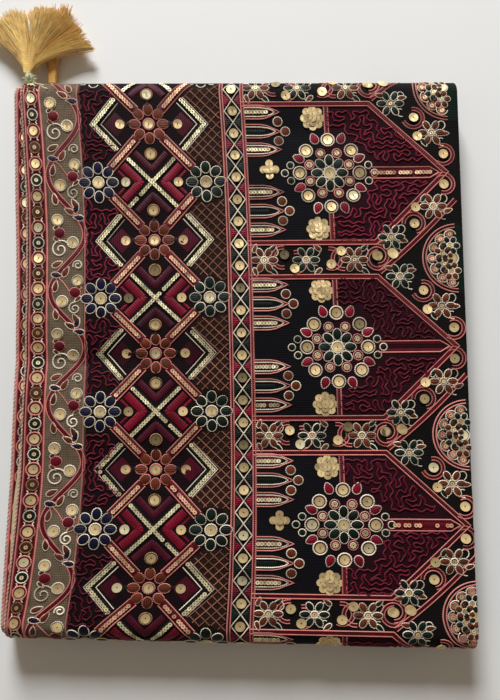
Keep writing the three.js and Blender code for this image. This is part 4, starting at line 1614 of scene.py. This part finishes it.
class Workshop:
    """Makes pieces out of meshes, and sees that each rides and replaces its nodes."""

    def __init__(self) -> None:
        """Sets up the shared effects and the loom."""
        self.effects = Effects()
        self.loom = Loom()

    def piece(self, mesh: Mesh, finish: Finish, slot: str, nodes: Sequence[str] = ()) -> Object:
        """Makes a piece.

        Args:
            mesh: Its mesh, whose name it takes.
            finish: Its finish.
            slot: The record's material slot; not used.
            nodes: The nodes that it stands for.

        Returns:
            The new object.
        """
        mesh.materials.clear()
        mesh.materials.append(finish.material(self.effects))
        made = in_scene(mesh.name, mesh)
        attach(made, BODY)
        if nodes:
            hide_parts(*nodes)
        mesh.calc_loop_triangles()
        LOG.info("%s: %d triangles", made.name, len(mesh.loop_triangles))
        return made


@dataclass(frozen=True)
class Slab:
    """One stretch of cloth as a thin closed wall: its piece and node, and how it is gridded and laid."""

    name: str
    node: str
    finish: Finish
    slot: str
    columns: int
    rows: tuple[int, ...]
    runs: tuple[float, ...]
    top: float
    bottom: float
    across: Field

    def make(self, shop: Workshop, bundle: Bundle, embroidery: Embroidery) -> Object:
        """Builds the wall."""
        bm = bmesh.new()
        bmesh.ops.create_grid(bm, x_segments=self.columns, y_segments=self.rows[-1], size=0.5)
        lower = bmesh.ops.extrude_face_region(bm, geom=bm.faces[:], use_keep_orig=True)["geom"]
        bmesh.ops.translate(bm, verts=[item for item in lower if isinstance(item, bmesh.types.BMVert)],
                            vec=(0, 0, -1))
        bmesh.ops.recalc_face_normals(bm, faces=bm.faces[:])
        mesh = mesh_of(bm, self.name)
        column, row, side = points_of(mesh).T
        run = np.interp((row + 0.5) * self.rows[-1], self.rows, self.runs)
        x = self.across(column + 0.5, bundle.station(run)[0])
        depth = self.top + (self.bottom - self.top) * -side
        u, v = bundle.unlay(x, run)
        mesh.vertices.foreach_set("co", self.lay(bundle, x, run, depth).ravel())
        shaped(with_attributes(mesh, np.stack([u, v], -1), np.full(len(u), 0.5), embroidery.ground(u, v)))
        return shop.piece(mesh, self.finish, self.slot, [self.node])

    def lay(self, bundle: Bundle, x: Array, run: Array, depth: Array) -> Array:
        """Places of points; the face also turns round the side fold, and the rest stays inside it."""
        if self.name == "face_cloth":
            return bundle.wrap(x, run, -depth)
        return bundle.place(x, depth, *bundle.station(run))


@dataclass(frozen=True)
class ClothStretches:
    """The stretches of cloth and tape that show."""

    bundle: Bundle
    strip_end: float = -118.0
    tape_end: float = -146.0
    end_flat: float = 5.0

    def tape_edge(self, y: Array) -> Array:
        """Place across of the tape's outer edge."""
        first, last = self.bundle.tape_shows
        shown = np.sin(math.pi * np.clip((first - y) / (first - last), 0, 1))
        return self.bundle.hem("face", y) + self.bundle.tape_hide - (
            self.bundle.tape_hide + self.bundle.tape_peek) * shown

    def slabs(self) -> list[Slab]:
        """All the stretches, each with its own grid."""
        b = self.bundle
        end = b.flat_end
        whole = (b.end_run, end, -end, -end - b.half_roll, b.under_end_run)
        round_fold = math.pi * b.fold_radius

        def face(share: Array, y: Array) -> Array:
            column = share * 130
            flat = b.hem("face", y) + (b.fold_from - b.hem("face", y)) * np.minimum(column / 118, 1)
            turned = round_fold * np.clip((column - 118) / 8, 0, 1)
            return flat + turned + b.lip * np.clip((column - 126) / 4, 0, 1)

        def between(left: Callable[[Array], Array], right: float) -> Field:
            return lambda share, y: left(y) + (right - left(y)) * share

        hem, under = (lambda y: b.hem("face", y)), (lambda y: b.hem("under", y))
        below = b.under_from
        return [
            Slab("face_cloth", "face_panel", GROUND, CLOTH_SLOT, 130, (0, 6, 142, 158, 214), whole, 0, b.wall,
                 face),
            Slab("roll_cloth", "roll_panel", GROUND, CLOTH_SLOT, 118, (0, 16),
                 (b.under_end_run - 0.01, b.last_run), 0, b.wall, between(hem, b.fold_from)),
            Slab("under_cloth", "under_panel", GROUND, CLOTH_SLOT, 20, (0, 6, 142, 158, 214), whole, below,
                 below + b.wall, between(under, self.strip_end)),
            Slab("under_end_cloth", "under_end_panel", GROUND, CLOTH_SLOT, 100, (0, 7, 10),
                 (b.end_run, end, end - self.end_flat), below, below + b.wall,
                 between(lambda y: self.strip_end + b.gap + 0 * y, b.fold_from)),
            Slab("hem_tape", "edge_tape", TAPE, "edge_tape", 12, (0, 5, 141, 155, 213), whole, b.tape_from,
                 b.tape_from + b.tape_wall, between(self.tape_edge, self.tape_end)),
        ]


class Edge(NamedTuple):
    """One rounded edge of the hidden layers: its depths, how far it reaches and how deep its groove is."""

    top: float
    low: float
    reach: float
    groove: float


@dataclass(frozen=True)
class HiddenLayers:
    """The layers inside the bundle, as one solid with rounded, wavering edges."""

    bundle: Bundle
    left: tuple[Edge, ...] = (Edge(5.2, 7.0, 0.2, 6), Edge(7.3, 9.0, -2.4, 6), Edge(9.3, 11.0, 0.9, 6),
                              Edge(11.3, 12.7, -3.4, 6))
    right: tuple[Edge, ...] = (Edge(3.6, 5.9, -1.2, 5), Edge(6.2, 9.1, -0.3, 5), Edge(9.4, 12.6, -1.8, 5))
    margin: float = 1.3
    follow: float = 0.85
    shelf: float = -160.0
    slot: tuple[float, float] = (-150.0, 166.0)
    half_slot: float = 0.5
    strip_end: float = -118.0
    stations: int = 60
    roll_stations: int = 12
    waver: float = 0.35

    def section(self, y: float) -> Array:
        """The points (x, depth) of a half section at a station, from the left slot over the top and back."""
        b = self.bundle
        low = b.roll - self.half_slot
        hem = (1 - self.follow) * float(b.hem("under", 0)) + self.follow * float(b.hem("under", y))
        points = [(self.slot[0], low)]
        for index, edge in reversed(list(enumerate(self.left))):
            wave = self.waver * math.sin(y / (17 + 5 * index) + 2 * index)
            out = hem + self.margin - edge.reach + wave
            for share, back in ((1, edge.groove), (0.92, 1.0), (0.75, 0.2), (0.5, 0), (0.25, 0.2), (0.08, 1.0)):
                points.append((out + back, edge.top + (edge.low - edge.top) * share))
        top_columns = np.linspace(self.shelf, self.strip_end, 8)
        points += [(x, b.core_left + 0.1) for x in top_columns]
        lip_end = b.fold_from - b.lip
        points += [(x, b.core_middle) for x in np.linspace(self.strip_end + 1, lip_end - 2, 44)]
        points.append((lip_end - 1, 2 * b.fold_radius + b.core_gap))
        for index, edge in enumerate(self.right):
            out = b.fold_x + edge.reach + self.waver * math.sin(y / (19 + 4 * index) + index)
            for share, back in ((0, edge.groove), (0.1, 1.0), (0.3, 0.2), (0.5, 0), (0.7, 0.2), (0.9, 1.0)):
                points.append((out - back, edge.top + (edge.low - edge.top) * share))
        points.append((self.slot[1], low))
        points += [(x, low) for x in np.linspace(self.slot[1], self.slot[0], 24)[1:-1]]
        return np.array(points)

    def loop(self) -> list[tuple[float, float, float]]:
        """The stations round the bundle: y, turn and winding."""
        b = self.bundle
        tuck = b.core_left + b.wall + b.core_gap - b.core_middle
        top = np.linspace(b.flat_end, -b.flat_end, self.stations)
        front = np.linspace(0, 1, self.roll_stations + 2)[1:-1]
        wind = lambda share: tuck * min(1.0, share / b.roll_reach / b.tuck_done)
        return ([(b.flat_end, 0.0, tuck)] + [(y, 0.0, 0.0) for y in top[1:]]
                + [(-b.flat_end, -math.pi * share, 0.0) for share in front]
                + [(-y, -math.pi, 0.0) for y in top]
                + [(b.flat_end, -math.pi * (1 + share), wind(share)) for share in front])

    def make(self, shop: Workshop) -> Object:
        """Builds the solid as a grid that closes on itself both ways."""
        loop = self.loop()
        sections = [self.section(y) for y, _, _ in loop]
        rows, columns = len(loop), len(sections[0])
        bm = bmesh.new()
        bmesh.ops.create_grid(bm, x_segments=columns, y_segments=rows, size=0.5)
        for vert in bm.verts:
            i, j = round((vert.co.x + 0.5) * columns) % columns, round((vert.co.y + 0.5) * rows) % rows
            y, turn, wind = loop[j]
            x, depth = sections[j][i]
            vert.co = Vector(self.bundle.place(np.array(x), np.array(depth), np.array(y), turn, wind))
        bmesh.ops.remove_doubles(bm, verts=bm.verts[:], dist=1e-6)
        mesh = mesh_of(bm, "hidden_layers")
        points = points_of(mesh)
        shaped(with_attributes(mesh, points[:, :2] / MM, np.full(len(points), 0.5)), 60)
        return shop.piece(mesh, HIDDEN, CLOTH_SLOT, ["inner_layers"])


@dataclass(frozen=True)
class Piping:
    """A hem's cord, twisted from a pink and a cream ply."""

    name: str
    node: str
    hem: str
    depth: float
    bundle: Bundle
    offset: float = 0.38
    ply: float = 0.52
    pitch: float = 3.2
    steps: int = 7

    def make(self, shop: Workshop) -> list[Object]:
        """Builds both plies."""
        b = self.bundle
        run = np.arange(b.end_run, b.under_end_run, -self.pitch / self.steps)
        y, turn, wind = b.station(run)
        centre = b.hem(self.hem, y) - b.cord - b.gap
        pieces = []
        for phase, finish in ((0.0, PINK), (math.pi, CREAM)):
            angle = run * 2 * math.pi / self.pitch + phase
            at = lambda radius: b.place(centre + radius * np.sin(angle), self.depth - radius * np.cos(angle),
                                        y, turn, wind)
            points = at(self.offset)
            up = at(self.offset + 1) - points
            thread = Thread(points, up / np.linalg.norm(up, axis=1, keepdims=True), self.ply * MM, 0.5)
            mesh = shop.loom.sweep(f"{self.name}_{finish.name}", Section.CORD, [thread])
            pieces.append(shop.piece(mesh, finish, "edge_cord", [self.node] if not pieces else ()))
        return pieces


class Lobe(NamedTuple):
    """One lobe of a tassel's skirt: its angles from +Y towards +X, its reach, its locks and their threads."""

    start: float
    end: float
    reach: float
    locks: int
    threads: int


@dataclass(frozen=True)
class Tassel:
    """A corner tassel: a core wound with tinsel, tinsel loops over the corner, and a skirt of cut threads."""

    name: str
    corner: tuple[float, float, float]
    base: tuple[float, float, float]
    lobes: tuple[Lobe, ...]
    base_low: float
    base_high: float
    rim_low: float
    rim_high: float
    loops: tuple[tuple[float, float], ...]
    seed: int
    cap_radius: float = 4.2
    wire: float = 0.5
    thread: float = 0.2
    stray: float = 3.2
    frays: int = 26
    deep_share: float = 0.18

    def cap(self, shop: Workshop) -> list[Object]:
        """The wound cap and its core."""
        start, end = Vector(self.corner), Vector(self.base)
        way = (end - start).normalized()
        length = (end - start).length - 1.0
        side = way.cross(Vector((0, 0, 1))).normalized()
        top = side.cross(way)
        turns = length / (2 * self.wire * 0.92)
        count = round(turns * 18)
        share = np.linspace(0, 1, count)
        profile = np.interp(share, (0, 0.15, 0.7, 1), (0.74, 1, 0.88, 0.7)) * (self.cap_radius - self.wire)
        angle = share * turns * 2 * math.pi
        out = np.cos(angle)[:, None] * np.array(side) + np.sin(angle)[:, None] * np.array(top)
        points = np.array(start) + share[:, None] * length * np.array(way) + out * profile[:, None]
        coil = Thread(points * MM, out, self.wire * MM, 0.5)
        bm = bmesh.new()
        bmesh.ops.create_cone(bm, cap_ends=True, segments=16, radius1=self.cap_radius * 0.66,
                              radius2=self.cap_radius * 0.6, depth=length)
        turned = way.to_track_quat("Z", "Y").to_matrix().to_4x4()
        middle = start + way * (length / 2)
        moved = Matrix.Scale(MM, 4) @ Matrix.Translation(middle) @ turned
        bmesh.ops.transform(bm, verts=bm.verts[:], matrix=moved)
        core = mesh_of(bm, self.name + "_core")
        around = np.array([(vert.co.x / MM, vert.co.y / MM) for vert in core.vertices])
        shaped(with_attributes(core, around, np.full(len(around), 0.5)))
        wound = shop.loom.sweep(self.name + "_winding", Section.CORD, [coil])
        return [shop.piece(wound, TINSEL, "tassel_cap", [self.name + "_cap"]),
                shop.piece(core, TINSEL, "tassel_cap")]

    def over_corner(self, shop: Workshop, bundle: Bundle) -> Object:
        """The tinsel loops that hold the tassel to the cloth, and the frayed ends about them."""
        start = np.array(self.corner) * MM
        threads = []
        for u, v in self.loops:
            far = bundle.lay(np.array([(u, v, 0.6)]))[0]
            lifted = (start + far) / 2 + np.array((0, 0, 1.2 * MM))
            share = np.linspace(0, 1, 10)[:, None]
            points = start * (1 - share) ** 2 + lifted * 2 * share * (1 - share) + far * share ** 2
            threads.append(Thread(points, upright(10), 0.6 * MM, 0.6))
        rng = np.random.default_rng(self.seed)
        share = np.linspace(0, 1, 7)[:, None]
        for angle in np.radians(np.linspace(-170, 170, self.frays)) + rng.normal(0, 0.15, self.frays):
            way = np.array([math.sin(angle), math.cos(angle), 0.0]) * rng.uniform(4.5, 7.5)
            rise = np.array([0, 0, 4.2]) * np.sin(share * 2.4)
            points = start + (way * share + rise) * MM
            threads.append(Thread(points, upright(7), 0.42 * MM, rng.random()))
        return shop.piece(shop.loom.sweep(self.name + "_loops", Section.CORD, threads), TINSEL, "tassel_cap")

    def skirt(self, shop: Workshop) -> list[Object]:
        """The cut threads, gathered into locks."""
        rng = np.random.default_rng(self.seed)
        base = np.array(self.base)
        threads = {RAYON: [], RAYON_DEEP: []}
        share = np.linspace(0, 1, 8)
        for lobe in self.lobes:
            for middle in np.linspace(lobe.start, lobe.end, lobe.locks) + rng.normal(0, 1.5, lobe.locks):
                wave, phase = rng.uniform(0.6, 1.8), rng.uniform(0, 2 * math.pi)
                level, long = rng.random(), lobe.reach * rng.uniform(0.9, 1.0)
                for _ in range(lobe.threads):
                    spread = middle + rng.normal(0, self.stray)
                    angle = np.radians(np.clip(spread, lobe.start, lobe.end) * share ** 0.4)
                    radius = share * long * rng.uniform(0.93, 1.0)
                    sway = wave * np.sin(share * 5 + phase) * share + rng.normal(0, 0.25) * share
                    x0 = rng.uniform(-1, 1) * self.cap_radius * 0.62
                    height = np.clip(level + rng.normal(0, 0.18), 0, 1)
                    low = self.base_low + (self.rim_low - self.base_low) * share ** 0.8
                    high = self.base_high + (self.rim_high - self.base_high) * share ** 0.8
                    x = base[0] + x0 * (1 - share) + radius * np.sin(angle) + sway * np.cos(angle)
                    y = base[1] - 0.8 + radius * np.cos(angle) - sway * np.sin(angle)
                    points = np.stack([x, y, low + (high - low) * height], 1)
                    made = Thread(points * MM, upright(len(share)), self.thread * rng.uniform(0.8, 1.2) * MM,
                                  rng.random())
                    threads[RAYON_DEEP if rng.random() < self.deep_share else RAYON].append(made)
        pieces = []
        for finish, rows in threads.items():
            mesh = shop.loom.sweep(f"{self.name}_{finish.name}", Section.STRAND, rows)
            nodes = () if pieces else [self.name + "_skirt"]
            pieces.append(shop.piece(mesh, finish, "tassel_thread", nodes))
        return pieces


TASSELS = (
    Tassel("tassel_a", (-164.5, 219.2, 18.0), (-169.0, 230.0, 13.8),
           (Lobe(-47, -7, 64, 26, 21), Lobe(1, 44, 64, 26, 21), Lobe(44, 67, 60, 13, 18)),
           10.5, 17.0, 6.2, 10.2,
           ((-158.5, 203), (-155, 209), (-152, 202), (-148, 208), (-145, 203), (-141, 209), (-138, 205)), 21),
    Tassel("tassel_b", (-150.6, 215.5, 5.0), (-151.3, 225.6, 5.0), (Lobe(-20, 11, 73, 30, 18),),
           1.8, 8.0, 0.6, 4.2, (), 22, deep_share=0.8),
)


# ---- Floor, light and camera -----------------------------------------------------------------------------
@dataclass(frozen=True)
class Studio:
    """A plain off-white floor, soft light from the back and a little to the left, and the camera above."""

    floor_size: float = 4.0
    floor_z: float = -0.0004
    floor_tones: tuple[tuple[int, int, int], ...] = ((246, 246, 245), (250, 250, 249))
    floor_roughness: float = 0.9
    world: tuple[float, float, float] = (1.0, 0.84, 0.66)
    world_strength: float = 0.19
    camera_place: tuple[float, float, float] = (25.94, -50.1, 538.9)
    pitch: float = math.radians(5.62)
    yaw: float = math.radians(1.66)
    roll: float = math.radians(-0.35)
    lens: float = 35.0
    sensor: float = 36.0
    light_place: tuple[float, float, float] = (-0.4, 3.0, 1.6)
    light_size: float = 1.1
    light_power: float = 150.0
    light_colour: tuple[float, float, float] = (0.95, 0.98, 1.0)

    def floor(self) -> None:
        """The floor."""
        bm = bmesh.new()
        bmesh.ops.create_grid(bm, x_segments=2, y_segments=2, size=self.floor_size / 2)
        mesh = mesh_of(bm, "floor")
        material, graph, shader = new_material("floor_paper")
        dark, pale = (linear(tone) for tone in self.floor_tones)
        inputs = {"Factor": graph.noise(9.0, 3.0), "A": dark, "B": pale}
        tint = graph.add("ShaderNodeMix", inputs, data_type="RGBA")
        graph.join(tint.outputs["Result"], shader, "Base Color")
        shader.inputs["Roughness"].default_value = self.floor_roughness
        mesh.materials.append(material)
        floor = in_scene("floor", mesh)
        floor.location.z = self.floor_z
        floor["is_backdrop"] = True

    def light(self) -> None:
        """The sky and the soft key light."""
        world = bpy.data.worlds.new("studio")
        world.use_nodes = True
        sky = world.node_tree.nodes["Background"]
        sky.inputs["Color"].default_value = (*self.world, 1)
        sky.inputs["Strength"].default_value = self.world_strength
        bpy.context.scene.world = world
        lamp = bpy.data.lights.new("key", "AREA")
        lamp.shape, lamp.size, lamp.energy = "SQUARE", self.light_size, self.light_power
        lamp.color = self.light_colour
        key = in_scene("key", lamp)
        key.location = self.light_place
        key.rotation_euler = Vector(self.light_place).to_track_quat("Z", "Y").to_euler()
        bpy.context.scene.view_settings.view_transform = "Standard"

    def camera(self) -> None:
        """The camera, from its place and its three small turns."""
        back = Vector((math.sin(self.yaw) * math.cos(self.pitch), -math.sin(self.pitch),
                       math.cos(self.pitch) * math.cos(self.yaw))).normalized()
        up = Vector((0, 1, 0))
        up = (up - up.dot(back) * back).normalized()
        right = up.cross(back)
        cos, sin = math.cos(self.roll), math.sin(self.roll)
        axes = Matrix((right * cos + up * sin, up * cos - right * sin, back)).transposed().to_4x4()
        data = bpy.data.cameras.new("camera")
        data.lens, data.sensor_width, data.sensor_height = self.lens, self.sensor, self.sensor
        data.sensor_fit = "AUTO"
        data.clip_start = 0.01
        camera = in_scene("camera", data)
        camera.matrix_world = Matrix.Translation(Vector(self.camera_place) * MM) @ axes
        bpy.context.scene.camera = camera

    def set_up(self) -> None:
        """Sets up floor, light and camera."""
        self.floor()
        self.light()
        self.camera()


def main() -> None:
    logging.basicConfig(level=logging.INFO, format="%(name)s %(message)s")
    cad_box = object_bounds()
    bundle, shop, embroidery = Bundle(), Workshop(), Embroidery()
    Studio().set_up()
    hidden = HiddenLayers(bundle).make(shop)
    slabs = {slab.name: slab.make(shop, bundle, embroidery) for slab in ClothStretches(bundle).slabs()}
    worked = embroidery.work(shop, bundle)
    cords = []
    hems = (("face_cord", "face_piping", "face", bundle.cord),
            ("under_cord", "under_piping", "under", bundle.under_from + bundle.cord / 2))
    for name, node, hem, depth in hems:
        cords += Piping(name, node, hem, depth, bundle).make(shop)
    tassels = []
    for tassel in TASSELS:
        tassels += tassel.cap(shop) + tassel.skirt(shop)
        if tassel.loops:
            tassels.append(tassel.over_corner(shop, bundle))
    slabs["face_cloth"]
    slabs["roll_cloth"]
    slabs["under_cloth"]
    slabs["under_end_cloth"]
    slabs["hem_tape"]
    slabs["under_cloth"]
    for label, box in (("cad", cad_box), ("visual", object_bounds())):
        LOG.info("%s box %s", label, [[round(float(c), 4) for c in corner] for corner in box])


if __name__ == "__main__":
    main()
